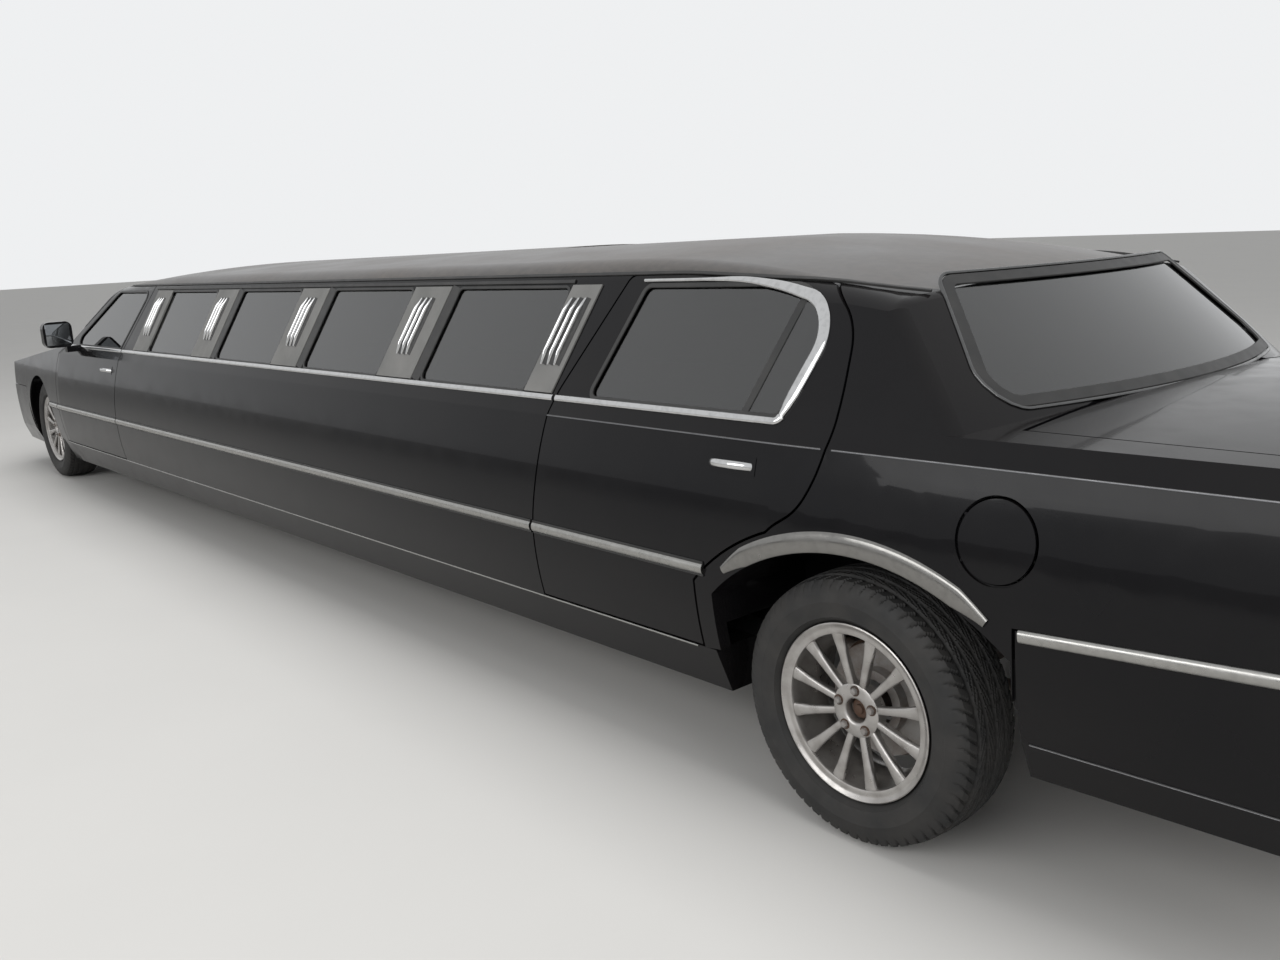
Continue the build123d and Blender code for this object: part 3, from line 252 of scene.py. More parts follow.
def wood():
    f = Finish("polishedWood", Coat_Weight=0.8, Coat_Roughness=0.08, Roughness=0.35)
    rings = f.node("TexWave", {
        "Vector": f.stretched((0.25, 1, 3)), "Scale": 4.0, "Distortion": 7.0, "Detail": 4.0
    }, wave_type="RINGS").outputs["Fac"]
    f.set("Base Color", f.mix(rings, (0.045, 0.016, 0.007), (0.17, 0.07, 0.028)))
    f.bump(rings, 0.04, 0.0004)
    return f.mat


finishes = {
    "body_paint": bodyPaint(),
    "roof_paint": roofPaint(),
    "tinted_glass": clear("tintedGlass", (0.045, 0.05, 0.05), 1.85, (5.0, 4.0, 0.4, 0.8, 0.0, 0.012)),
    "grille_chrome": chrome("brightChrome", (0.78, 0.78, 0.77), 0.10),
    "headlamp_lens": clear("clearLens", (0.93, 0.95, 0.96), 1.49, (30.0, 3.0, 0.4, 0.8, 0.02, 0.10)),
    "tail_lamp_lens": lampRed(),
    "chassis_steel": rustySteel("frameSteel", (0.025, 0.025, 0.026), (0.10, 0.055, 0.03), 0.6),
    "engine_casting": rustySteel("castAlloy", (0.32, 0.32, 0.31), (0.12, 0.09, 0.06), 0.5, 0.5),
    "radiator_core": grained("radiatorFins", (0.03, 0.03, 0.03), (0.06, 0.06, 0.06), 180.0, 0.6),
    "exhaust_steel": rustySteel("exhaustSteel", (0.30, 0.28, 0.26), (0.20, 0.10, 0.05), 0.8),
    "tank_steel": rustySteel("tankSteel", (0.035, 0.035, 0.036), (0.09, 0.06, 0.04), 0.5),
    "floor_carpet": carpet(),
    "seat_leather": grained("blackLeather", (0.020, 0.018, 0.018), (0.045, 0.040, 0.038), 220.0, 0.42),
    "bar_wood": wood(),
    "partition_trim": grained("partitionTrim", (0.022, 0.022, 0.023), (0.04, 0.04, 0.04)),
    "dash_plastic": grained("dashPlastic", (0.026, 0.026, 0.028), (0.05, 0.05, 0.05)),
    "wheel_leather": grained("wheelLeather", (0.016, 0.015, 0.015), (0.035, 0.032, 0.03), 300.0, 0.4),
    "alloy_wheel": alloy(),
    "tyre_rubber": rubber("wornTyre", (0.009, 0.009, 0.009), (0.024, 0.022, 0.020)),
    # trim and wheel parts
    "satin_trim": chrome("satinTrim", (0.36, 0.355, 0.34), 0.24),
    "bright_trim": chrome("brightTrim", (0.58, 0.58, 0.58), 0.09),
    "black_trim": rubber("blackTrim", (0.010, 0.010, 0.010), (0.022, 0.021, 0.020), 0.5),
    "pillar_grey": grained("pillarGrey", (0.125, 0.125, 0.120), (0.175, 0.172, 0.165), 420.0, 0.62),
    "dull_chrome": chrome("dullChrome", (0.23, 0.225, 0.215), 0.15),
    "rusty_hub": rustySteel("rustyHub", (0.060, 0.045, 0.036), (0.115, 0.052, 0.026), 0.85, 0.75),
    "dull_steel": rustySteel("dullSteel", (0.27, 0.26, 0.25), (0.12, 0.070, 0.045), 0.55, 0.5),
    # a bright finish for the crease beads: a painted highlight
    "crease_light": chrome("creaseLight", (0.16, 0.16, 0.165), 0.30),
    "dark_chrome": chrome("darkChrome", (0.13, 0.13, 0.13), 0.20),
    "plate_white": grained("plateWhite", (0.62, 0.62, 0.60), (0.50, 0.50, 0.48), 90.0, 0.45),
    "milky_lens": grained("milkyLens", (0.62, 0.63, 0.64), (0.52, 0.53, 0.54), 160.0, 0.12),
    "mirror_glass": chrome("mirrorGlass", (0.20, 0.21, 0.22), 0.02),
}
finishes["bumper_paint"] = finishes["body_paint"]
# the slot that goes with each trim finish
chromes = ("bright_trim", "satin_trim", "dull_chrome", "dark_chrome", "mirror_glass")
slotOfTrim = {
    "black_trim": "tyre_rubber", "pillar_grey": "partition_trim", "crease_light": "body_paint",
    "plate_white": "body_paint", "milky_lens": "headlamp_lens", **dict.fromkeys(chromes, "grille_chrome"),
}
slotOf = {s["node"]: s["material_slot"] for s in frame["record"]["subparts"]}
for nodeName, node in nodes.items():
    node.data.materials.clear()
    node.data.materials.append(finishes[slotOf[nodeName]])
print("materials made")

# shared ways of making surfaces, all worked out as whole arrays

def meshPiece(name, parts, body, finishName, slotName=None, replaces=(), sharp=38):
    # parts are closed (vertices, faces) pairs in the row frame; their faces are turned outwards
    verts, faces, count = [], [], 0
    for points, polygons in parts:
        verts.append(np.asarray(points, float).reshape(-1, 3))
        faces += [tuple(int(i) + count for i in f) for f in polygons]
        count += len(verts[-1])
    mesh = bpy.data.meshes.new(name)
    mesh.from_pydata(np.vstack(verts).tolist(), [], faces)
    shape = bmesh.new()
    shape.from_mesh(mesh)
    bmesh.ops.recalc_face_normals(shape, faces=shape.faces)
    shape.to_mesh(mesh)
    shape.free()
    mesh.shade_smooth()
    mesh.set_sharp_from_angle(angle=math.radians(sharp))
    piece = bpy.data.objects.new(name, mesh)
    scene.collection.objects.link(piece)
    mesh.materials.append(finishes[finishName])
    if replaces:
        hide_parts(*replaces)
    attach(piece, body)
    return piece


def gridFaces(rows, cols, closeRows=False, closeCols=False, caps=False):
    # quads between neighbours of a rows x cols grid of points; caps close its first and last row
    r = np.arange(rows if closeRows else rows - 1)[:, None]
    c = np.arange(cols if closeCols else cols - 1)[None, :]
    nextR, nextC = (r + 1) % rows, (c + 1) % cols
    faces = np.stack(np.broadcast_arrays(
        r * cols + c, r * cols + nextC, nextR * cols + nextC, nextR * cols + c
    ), axis=-1).reshape(-1, 4).tolist()
    if caps:
        faces += [tuple(range(cols))[::-1], tuple(range((rows - 1) * cols, rows * cols))]
    return faces


def borderOf(rows, cols):
    # the outer points of such a grid, in order
    g = np.arange(rows * cols).reshape(rows, cols)
    return np.concatenate([g[0], g[1:, -1], g[-1, -2::-1], g[-2:0:-1, 0]])


def unit(v):
    return v / np.linalg.norm(v, axis=-1, keepdims=True)


def aimed(points, normals):
    return toRow(points), toRow(points + normals) - toRow(points)


def carry(path, outward, profile, closed=False, sizes=None):
    # a profile of (across, out) pairs carried along a path, on the side that outward points to
    path, outward, profile = (np.asarray(a, float) for a in (path, outward, profile))
    if closed:
        along = unit(np.roll(path, -1, 0) - np.roll(path, 1, 0))
    else:
        along = unit(np.gradient(path, axis=0))
    side = unit(np.cross(along, outward))[:, None]
    out = unit(np.cross(side[:, 0], along))[:, None]
    scaled = profile[None] * (np.ones((len(path), 1, 2)) if sizes is None else sizes[:, None])
    points = path[:, None] + scaled[..., :1] * side + scaled[..., 1:] * out
    return points.reshape(-1, 3), gridFaces(len(path), len(profile), closed, True, not closed)


def aboutAxle(r, y, a):
    # points at radius r, place y along the wheel's axle and angle a about it
    x, z = r * np.cos(a)[:, None], r * np.sin(a)[:, None]
    return np.stack([x, np.broadcast_to(y, x.shape), z], -1).reshape(-1, 3)


def turned(profile, steps, centre=(0, 0, 0), start=0.0):
    # a closed outline of (radius, y) pairs turned about the wheel's axle
    r, y = np.asarray(profile, float).T
    points = aboutAxle(r, y, start + np.arange(steps) * 2 * math.pi / steps)
    return points + np.asarray(centre), gridFaces(steps, len(r), True, True)


def softBox(size, place, rounding, turn=None, n=4):
    # a box with rounded edges, placed in the car's own frame
    a = (np.arange(4 * n) + 0.5) * 2 * math.pi / (4 * n)
    b = ((np.arange(2 * n) + 0.5) * math.pi / (2 * n) - math.pi / 2)[:, None]
    ball = np.stack(np.broadcast_arrays(np.cos(b) * np.cos(a), np.cos(b) * np.sin(a), np.sin(b)), -1)
    ball = ball.reshape(-1, 3)
    points = ball * rounding + np.sign(ball) * (np.asarray(size, float) / 2 - rounding)
    if turn is not None:
        points = points @ np.asarray(turn.to_3x3()).T
    return points + toRow([place])[0], gridFaces(2 * n, 4 * n, False, True, True)


def tilted(degrees, axis="Y"):
    return Matrix.Rotation(math.radians(degrees), 4, axis)


def mirrored(part):
    points, faces = part
    return points * (1, -1, 1), [tuple(reversed(f)) for f in faces]


def sided(parts, side):
    return [mirrored(p) for p in parts] if side == "right" else parts


def bothSides(name, parts, body, *look):
    # the left piece and its mirror image on the right; {side} in a body's name is filled in
    for side in ("left", "right"):
        meshPiece(f"{name}_{side}", sided(parts, side), body.format(side=side), *look)


def roundedLine(points, radii, arcSteps=8, spacing=0.06):
    # straight runs joined by tangent arcs, as evenly spread points
    p = [np.asarray(q, float) for q in points]
    line = [p[0]]
    for before, corner, after, radius in zip(p, p[1:], p[2:], radii):
        u, v = unit(before - corner), unit(after - corner)
        half = math.acos(np.clip(np.dot(u, v), -1, 1)) / 2
        back = radius / math.tan(half)
        centre = corner + unit(u + v) * radius / math.sin(half)
        t = np.linspace(0, 1, arcSteps)[:, None]
        chord = corner + u * back + (v - u) * back * t
        line += list(centre + unit(chord - centre) * radius)
    line.append(p[-1])
    dense = [line[0]]
    for a, b in zip(line, line[1:]):
        n = max(1, int(math.ceil(np.linalg.norm(b - a) / spacing)))
        dense += [a + (b - a) * k / n for k in range(1, n + 1)]
    return np.array(dense)


def dome(width, height, foot=0.002, n=7):
    # a strip's section: a flat foot, upright edges and a rounded crown
    a = np.linspace(0, math.pi, n)
    crown = np.column_stack([-np.cos(a) * width / 2, foot + np.sin(a) * (height - foot)])
    return np.vstack([[(-width / 2, -foot)], crown, [(width / 2, -foot)]])


def slab(width, height, edge=0.0015, foot=0.002):
    # a flat strip with small bevels
    w = width / 2
    return np.array([(-w, -foot), (-w, height - edge), (-w + edge, height),
                     (w - edge, height), (w, height - edge), (w, -foot)])


# the body side: half width at a place along the car and a height above its own base

sideShape = {
    "rocker": (0.962, 0.425), "rockerLean": 0.42, "widest": (0.993, 0.660),
    "crease": (0.945, 1.015), "belt": (0.915, 1.070), "cabinLean": 0.4857,
    "frontTaper": 2.45, "frontTaperX": wheelbase - 0.621, "rearTaper": 2.05, "rearTaperX": 0.2,
    "fallX": 1.02, "fallRadius": 5.2, "roofCrown": 4.883, "roofTop": 1.522, "roofCorner": 0.110,
}


def circleThrough(p, q, r):
    a, b = np.subtract(q, p), np.subtract(r, p)
    d = 2 * (a[0] * b[1] - a[1] * b[0])
    u = np.array([b[1] * (a @ a) - a[1] * (b @ b), a[0] * (b @ b) - b[0] * (a @ a)]) / d
    return p[0] + u[0], p[1] + u[1], math.hypot(*u)


def roofFall(x):
    # how far the roof has come down at a place along the car
    rear = np.maximum(0, sideShape["fallX"] - x) ** 2 / (2 * sideShape["fallRadius"])
    front = np.maximum(0, x - (cowlX - 1.94)) ** 2 / (2 * 12.036)
    return rear + front


def cabinY(x, z):
    # leaning side, rounded roof corner and crowned roof, all slid down along the side by the fall
    s = sideShape
    fall = roofFall(x)
    z = z + fall
    crown, roofTop, corner, lean = s["roofCrown"], s["roofTop"], s["roofCorner"], s["cabinLean"]
    norm = math.hypot(1, lean)
    # the corner's centre is a radius inside both the side's line and the roof's circle
    cz = 1.35
    for _ in range(6):
        cy = s["belt"][0] - lean * (cz - s["belt"][1]) - corner * norm
        cz = roofTop - crown + math.sqrt((crown - corner) ** 2 - cy ** 2)
    low = cz + corner * lean / norm
    high = cz + corner * (cz - roofTop + crown) / (crown - corner)
    y = s["belt"][0] - lean * (z - s["belt"][1])
    rounded = cy + np.sqrt(np.maximum(corner ** 2 - (z - cz) ** 2, 0))
    top = np.sqrt(np.maximum(crown ** 2 - (z - roofTop + crown) ** 2, 0))
    y = np.where(z > low, np.where(z > high, top, rounded), y)
    return y + lean * fall


def sideY(x, z):
    # circle between rocker and crease, leaning lines below and above it, narrowed at both ends
    s = sideShape
    x, z = np.asarray(x, float), np.asarray(z, float)
    cy, cz, radius = circleThrough(s["rocker"], s["widest"], s["crease"])
    y = cy + np.sqrt(np.maximum(radius ** 2 - (z - cz) ** 2, 0))
    y = np.where(z < s["rocker"][1], s["rocker"][0] - s["rockerLean"] * (s["rocker"][1] - z), y)
    shoulder = np.interp(z, [s["crease"][1], s["belt"][1]], [s["crease"][0], s["belt"][0]])
    y = np.where(z > s["crease"][1], shoulder, y)
    y = np.where(z > s["belt"][1], cabinY(x, z), y)
    y = y - np.maximum(0, x - s["frontTaperX"]) * math.tan(math.radians(s["frontTaper"]))
    return y - np.maximum(0, s["rearTaperX"] - x) * math.tan(math.radians(s["rearTaper"]))


def onSide(line, lift=0.0):
    # points and outward normals of the left body side under a line drawn in side view
    x, z = np.asarray(line, float).T
    d = 0.004
    slopeX = (sideY(x + d, z) - sideY(x - d, z)) / (2 * d)
    slopeZ = (sideY(x, z + d) - sideY(x, z - d)) / (2 * d)
    normal = unit(np.stack([-slopeX, np.ones_like(x), -slopeZ], -1))
    return aimed(np.stack([x, sideY(x, z), z], -1) + normal * lift, normal)


def sideStrip(line, profile, sizes=None, closed=False, lift=0.0):
    return carry(*onSide(line, lift), profile, closed, sizes)


def sideTrim(name, lines, profile, body, *look, **how):
    bothSides(name, [sideStrip(line, profile, **how) for line in lines], body, *look)


def straight(x0, z0, x1, z1, spacing=0.15):
    return np.linspace((x0, z0), (x1, z1), max(2, int(abs(x1 - x0) / spacing) + 2))


def sidePlate(outline, height, rows=13, cols=7):
    # a thin plate laid on the body side: four edges blended over a grid, with a rim back to the body
    a, b, c, d = (np.asarray(p, float) for p in outline)
    u, v = (g[..., None] for g in np.meshgrid(np.linspace(0, 1, cols), np.linspace(0, 1, rows)))
    flat = ((1 - u) * (1 - v) * a + u * (1 - v) * b + u * v * c + (1 - u) * v * d).reshape(-1, 2)
    top, normal = onSide(flat, height)
    faces = gridFaces(rows, cols)
    n = rows * cols
    edge = borderOf(rows, cols).tolist()
    rim = [(p, q, n + q, n + p) for p, q in zip(edge, edge[1:] + edge[:1])]
    back = [tuple(n + i for i in reversed(f)) for f in faces]
    return np.vstack([top, top - normal * (height + 0.003)]), faces + rim + back


# chrome and rubber along the body side

mouldingLook = {"width": 0.030, "proud": 0.011, "height": 0.660, "rocker": 0.419}
beltLook = {"width": 0.021, "proud": 0.008, "height": 1.066}
frontShutX, frontDoorRearX, rearDoorFrontX = cowlX - 0.019, cowlX - 1.259, 1.213
shutHalf = 0.006


def buildSideMouldings():
    m, b = mouldingLook, beltLook
    rearBelt = cowlX - 1.299
    for name, body, x0, x1 in (
        ("mouldingFender", "body", frontShutX + shutHalf, wheelbase - 0.335),
        ("mouldingFrontDoor", "front_door_{side}", frontDoorRearX + shutHalf, frontShutX - shutHalf),
        ("mouldingPassengerSide", "body", rearDoorFrontX + shutHalf, frontDoorRearX - shutHalf),
        ("mouldingRearDoor", "rear_door_{side}", 0.432, rearDoorFrontX - shutHalf),
    ):
        line = straight(x0, m["height"], x1, m["height"])
        sideTrim(name, [line], dome(m["width"], m["proud"]), body, "satin_trim")
        backing = slab(m["width"] + 0.012, 0.004)
        sideTrim(name + "Backing", [line], backing, body, "black_trim", "body_paint")
    for name, body, x0, x1 in (
        ("beltPassengerSide", "body", 1.150 + shutHalf, rearBelt - shutHalf),
        ("beltFrontDoor", "front_door_{side}", rearBelt + shutHalf, cowlX - 0.300),
    ):
        line = straight(x0, b["height"], x1, b["height"])
        sideTrim(name, [line], dome(b["width"], b["proud"]), body, "bright_trim")
    z = mouldingLook["rocker"]
    sideTrim("rockerSeam", [straight(0.5, z, frontShutX, z)], slab(0.006, 0.003), "body", "satin_trim",
             "body_paint")


pillarLook = {
    "firstX": 1.320, "window": 0.660, "pillar": 0.320, "lean": 0.29, "foot": 1.078, "top": 1.402,
    "grey": 0.262, "plate": 0.005, "bars": 3, "barPitch": 0.035, "barWidth": 0.0125,
    "barShadeWidth": 0.021, "barProud": 0.014, "barFoot": 1.160, "barTop": 1.362, "head": 1.413,
}


def windowStarts(count):
    p = pillarLook
    return [p["firstX"] + i * (p["window"] + p["pillar"]) for i in range(count)]


def leaned(x, z):
    # points that lean back with the pillars, by their x at the windows' foot
    z = np.asarray(z, float)
    x = np.asarray(x) - pillarLook["lean"] * (z - pillarLook["foot"])
    return np.column_stack([x, z])


def buildPillarPanels():
    p = pillarLook
    foot, top, plate = p["foot"], p["top"], p["plate"]
    starts = windowStarts(5)
    panels = [(starts[0] - 0.150, starts[0] - 0.004), *((x - p["grey"], x - 0.004) for x in starts[1:4]),
              (starts[4] - p["grey"] - 0.06, starts[4] - 0.085)]
    greys, bars, barShades = [], [], []
    heights = np.linspace(p["barFoot"], p["barTop"], 12)
    fade = np.clip(np.minimum(np.arange(12), np.arange(11, -1, -1)) / 1.5, 0.25, 1)
    fade = np.column_stack([0.6 + 0.4 * fade, fade])
    for x0, x1 in panels:
        greys.append(sidePlate(leaned([x0, x1, x1, x0], [foot, foot, top, top]), plate))
        first = (x0 + x1) / 2 - p["barPitch"] * (p["bars"] - 1) / 2 + 0.012
        for k in range(p["bars"]):
            line = leaned(first + k * p["barPitch"], heights)
            bars.append(sideStrip(line, dome(p["barWidth"], p["barProud"]), fade, lift=plate))
            # a black strip beside each bar, on its rear side, is painted shade
            line = line - ((p["barWidth"] + p["barShadeWidth"]) / 2, 0)
            barShades.append(sideStrip(line, slab(p["barShadeWidth"], 0.0015, 0.0005), lift=plate))
    heights = np.linspace(foot, top, 9)
    strips = [sideStrip(leaned(x - p["pillar"] + 0.028, heights), slab(0.052, 0.004)) for x in starts[1:]]
    head = straight(p["firstX"] - 0.10, p["head"], starts[4] - 0.15, p["head"])
    strips.append(sideStrip(head, slab(0.013, 0.005)))
    bothSides("pillarPanels", greys, "body", "pillar_grey")
    bothSides("pillarBars", bars, "body", "bright_trim")
    bothSides("pillarBarShades", barShades, "body", "black_trim", "partition_trim")
    bothSides("pillarSealStrips", strips, "body", "black_trim", "partition_trim")


windowLook = {"seal": 0.011, "proud": 0.003, "foot": 1.080, "top": 1.395}
rearDoorGlass = ([(0.985, 1.080), (0.865, 1.395), (0.160, 1.395), (0.150, 1.235), (0.225, 1.080)],
                 [0.020, 0.030, 0.150, 0.060, 0.030])
frontDoorGlass = ([(cowlX - 0.340, 1.080), (cowlX - 0.895, 1.395), (cowlX - 1.425, 1.395),
                   (cowlX - 1.250, 1.080)], [0.030] * 4)


def closedOutline(points, radii, grow=0.0, spacing=0.04):
    # the outline as one loop that starts in the middle of its last side
    first = (np.array(points[0]) + np.array(points[-1])) / 2
    loop = roundedLine([first, *points, first], radii, 9, spacing)[:-1]
    if grow:
        ahead = np.roll(loop, -1, 0) - np.roll(loop, 1, 0)
        side = unit(np.column_stack([ahead[:, 1], -ahead[:, 0]]))
        centre = loop.mean(0)
        side *= np.sign(np.sum(side * (loop - centre), 1, keepdims=True))
        loop = loop + side * grow
    return loop


def buildWindowTrim():
    w = windowLook
    foot, top, width = w["foot"], w["top"], pillarLook["window"]
    lean = pillarLook["lean"] * (top - foot)
    loops = [closedOutline([(x, foot), (x + width, foot), (x + width - lean, top), (x - lean, top)],
                           [0.025] * 4, 0.003) for x in windowStarts(4)]
    sideTrim("windowSeals", loops, slab(w["seal"], w["proud"]), "body", "black_trim", closed=True)
    seal = slab(w["seal"] + 0.004, w["proud"])
    for end, shape in (("rear", rearDoorGlass), ("front", frontDoorGlass)):
        sideTrim(end + "DoorWindowSeal", [closedOutline(*shape, 0.004)], seal, end + "_door_{side}",
                 "black_trim", closed=True)
    # chrome round the rear door's window: thin on top, wide at its back edge, belt width below
    rim = [(1.140, 1.066), (0.215, 1.066), (0.140, 1.275), (0.185, 1.362), (0.330, 1.394),
           (0.480, 1.412), (0.880, 1.412)]
    line = roundedLine(rim, [0.025, 0.11, 0.10, 1.0, 1.0], 14, 0.03)
    back = np.clip((0.62 - line[:, 0]) / 0.40, 0, 1) * np.clip((line[:, 1] - 1.068) / 0.05, 0, 1)
    width = 0.011 + 0.024 * back + 0.010 * (line[:, 1] < 1.08)
    sideTrim("rearDoorWindowChrome", [line], dome(1.0, 0.008), "rear_door_{side}", "bright_trim",
             sizes=np.column_stack([width, np.ones(len(line))]), lift=0.001)
    sideTrim("rearDoorWindowDivider", [np.linspace((0.345, 1.078), (0.243, 1.382), 8)],
             slab(0.024, 0.001), "rear_door_{side}", "black_trim", lift=-0.004)


archLook = {"centre": (-0.040, 0.125), "radius": 0.650, "width": 0.052, "proud": 0.008,
            "startZ": 0.672, "endZ": 0.688}


def buildArchTrim():
    a = archLook
    radius = a["radius"] + a["width"] / 2
    start = math.asin((a["startZ"] - a["centre"][1]) / radius)
    end = math.pi - math.asin((a["endZ"] - a["centre"][1]) / radius)
    t = np.linspace(start, end, 48)
    line = np.column_stack([a["centre"][0] + radius * np.cos(t), a["centre"][1] + radius * np.sin(t)])
    edge = np.minimum(np.arange(48), np.arange(47, -1, -1)) / 5
    sizes = np.column_stack([0.45 + 0.55 * np.clip(edge, 0, 1), np.ones(48)])
    trim = dome(a["width"], a["proud"], n=9)
    sideTrim("rearArchTrim", [line], trim, "body", "dull_chrome", sizes=sizes)


handleLook = {"length": 0.150, "proud": 0.034, "tall": 0.021, "thick": 0.011, "height": 0.951}


def buildDoorHandles():
    # an arched pull with rounded ends over a dark dished plate
    k = handleLook
    z = k["height"]
    t = np.linspace(-1, 1, 15)
    a = np.linspace(0, 2 * math.pi, 12, endpoint=False)
    section = np.column_stack([np.cos(a) * k["tall"] / 2, np.sin(a) * k["thick"] / 2])
    lift = k["proud"] * (1 - np.abs(t) ** 3)[:, None] - 0.004
    for end, middle in (("rear", 0.345), ("front", cowlX - 1.110)):
        points, normals = onSide(np.column_stack([middle + t * k["length"] / 2, np.full(15, z)]))
        pull = carry(points + unit(normals) * lift, normals, section)
        x0, x1, z0, z1 = middle - 0.088, middle + 0.088, z - 0.022, z + 0.024
        plate = sidePlate([(x0, z0), (x1, z0), (x1, z1), (x0, z1)], 0.0015)
        bothSides(end + "DoorHandle", [pull], end + "_door_{side}", "bright_trim")
        bothSides(end + "DoorHandlePlate", [plate], end + "_door_{side}", "body_paint")


buildSideMouldings()
buildPillarPanels()
buildWindowTrim()
buildArchTrim()
buildDoorHandles()
print("side trim built")

# wheels: worn tyres on twelve-spoke rims without their centre caps

wheelLook = {
    "radius": 0.351, "treadHalf": 0.0925, "bead": 0.2165, "lip": 0.231, "rimHalf": 0.0975,
    "spokes": 12, "spokeIn": 0.062, "spokeOut": 0.206, "hubFace": 0.079,
    "nuts": 5, "nutCircle": 0.0535, "bore": 0.031,
    "pitches": 66, "perPitch": 8, "grooveDepth": 0.007,
}


def tyreSurface():
    # outline from bead to bead, then grooves pressed into the tread by angle and place across it
    w = wheelLook
    edge = w["treadHalf"]
    side = [(w["bead"] + 0.001, 0.078), (w["lip"] + 0.001, 0.080), (w["lip"] + 0.006, 0.0935),
            (0.246, 0.1030), (0.2475, 0.1055), (0.2505, 0.1055), (0.2520, 0.1060), (0.268, 0.1100),
            (0.285, 0.1120), (0.287, 0.1125), (0.289, 0.1118), (0.303, 0.1100), (0.316, 0.1065),
            (0.3265, 0.1020), (0.3345, 0.0975)]
    tread = [(w["radius"] - 0.0105 * (abs(y) / edge) ** 3.2, y) for y in np.linspace(edge, -edge, 75)]
    outline = np.array(side + tread + [(r, -y) for r, y in reversed(side)])
    inner = np.array([(w["bead"] + 0.001, -0.06), (0.30, -0.075), (0.325, 0.0), (0.30, 0.075),
                      (w["bead"] + 0.001, 0.06)])
    count = w["pitches"] * w["perPitch"]
    angle = np.arange(count) * 2 * math.pi / count
    y = outline[:, 1][None, :]
    turn = angle[:, None] / (2 * math.pi) * w["pitches"]
    place = np.arange(len(outline))
    onTread = (place >= len(side) - 2) & (place < len(side) + len(tread) + 2)
    grooves = np.zeros((count, len(outline)))
    for middle, breadth in ((0.0, 0.0050), (0.036, 0.0055), (0.066, 0.0045)):
        grooves = np.maximum(grooves, 1.0 * (np.abs(np.abs(y) - middle) < breadth))
    shoulder = (np.abs(y) > 0.072) & (np.mod(turn + 2.2 * np.abs(y) / 0.09, 1) < 0.24)
    ribs = (np.abs(y) < 0.064) & (np.mod(turn + 9.0 * y / 0.09 * np.sign(np.sin(90 * y)), 1) < 0.13)
    grooves = np.maximum(grooves, np.maximum(0.9 * shoulder, 0.55 * ribs)) * onTread[None, :]
    r = outline[:, 0][None, :] - grooves * w["grooveDepth"]
    r = np.hstack([r, np.broadcast_to(inner[:, 0], (count, len(inner)))])
    y = np.concatenate([outline[:, 1], inner[:, 1]])
    return aboutAxle(r, y, angle), gridFaces(count, r.shape[1], True, True)


def rimBarrel():
    # lips, wells and bead seats as one closed outline
    w = wheelLook
    h = w["rimHalf"]
    outline = [
        (0.2085, -h + 0.004), (0.2215, -h), (w["lip"], -h), (w["lip"], -h + 0.006), (0.2160, -h + 0.011),
        (0.2160, -0.045), (0.192, -0.030), (0.192, 0.030), (0.2160, 0.050), (0.2160, h - 0.011),
        (w["lip"], h - 0.006), (w["lip"] + 0.0008, h - 0.0015), (0.2290, h), (0.2250, h - 0.0015),
        (0.2200, h - 0.0065), (0.2140, h - 0.0080), (0.2080, h - 0.0070), (0.2020, h - 0.0095),
        (0.1985, h - 0.018), (0.2010, h - 0.035), (0.186, 0.030), (0.184, -0.030), (0.200, -0.050),
    ]
    return turned(outline, 96)


def spokeShapes():
    # each spoke widens outwards, with a crowned face and a thinner back
    w = wheelLook
    t = np.linspace(0, 1, 12)
    width = 0.0205 + 0.0040 * t + 0.016 * t ** 3
    face = w["hubFace"] - 0.004 + 0.012 * t ** 0.8
    depth = 0.024 - 0.006 * t
    across = np.array([-0.5, -0.44, -0.30, 0.0, 0.30, 0.44, 0.5, 0.36, -0.36])
    down = np.array([0.0075, 0.0030, 0.0006, 0.0, 0.0006, 0.0030, 0.0075, 1.0, 1.0])
    z = across[None, :] * width[:, None]
    y = face[:, None] - np.where(down > 0.5, depth[:, None], down[None, :])
    x = np.broadcast_to((w["spokeIn"] + (w["spokeOut"] - w["spokeIn"]) * t)[:, None], z.shape)
    one = np.stack([x, y, z], -1).reshape(-1, 3)
    faces = gridFaces(len(t), len(across), False, True, True)
    parts = []
    for i in range(w["spokes"]):
        a = (i + 0.5) * 2 * math.pi / w["spokes"]
        turn = np.array([[math.cos(a), 0, -math.sin(a)], [0, 1, 0], [math.sin(a), 0, math.cos(a)]])
        parts.append((one @ turn.T, faces))
    return parts


def hubShape():
    bore, f = wheelLook["bore"], wheelLook["hubFace"]
    return turned([(bore, f - 0.030), (bore, f - 0.006), (bore + 0.003, f - 0.002), (0.040, f),
                   (0.064, f - 0.001), (0.070, f - 0.004), (0.072, f - 0.012), (0.072, f - 0.034)], 60)


def atNuts(outline, steps, follow):
    # the same turned outline at each nut; its heights count from the hub's face
    w = wheelLook
    outline = [(r, w["hubFace"] + y) for r, y in outline]
    parts = []
    for i in range(w["nuts"]):
        a = (i + 0.25) * 2 * math.pi / w["nuts"]
        centre = (w["nutCircle"] * math.cos(a), 0, w["nutCircle"] * math.sin(a))
        parts.append(turned(outline, steps, centre, a * follow))
    return parts


def nutShapes():
    # six-sided nuts with rounded heads
    return atNuts([(0.0004, -0.008), (0.0100, -0.008), (0.0100, 0.006), (0.0078, 0.009),
                   (0.0004, 0.010)], 6, 1)


def cupShapes():
    # dark dished seats for the nuts
    return atNuts([(0.0004, -0.004), (0.0140, -0.004), (0.0140, 0.0006), (0.0004, 0.0008)], 20, 0)


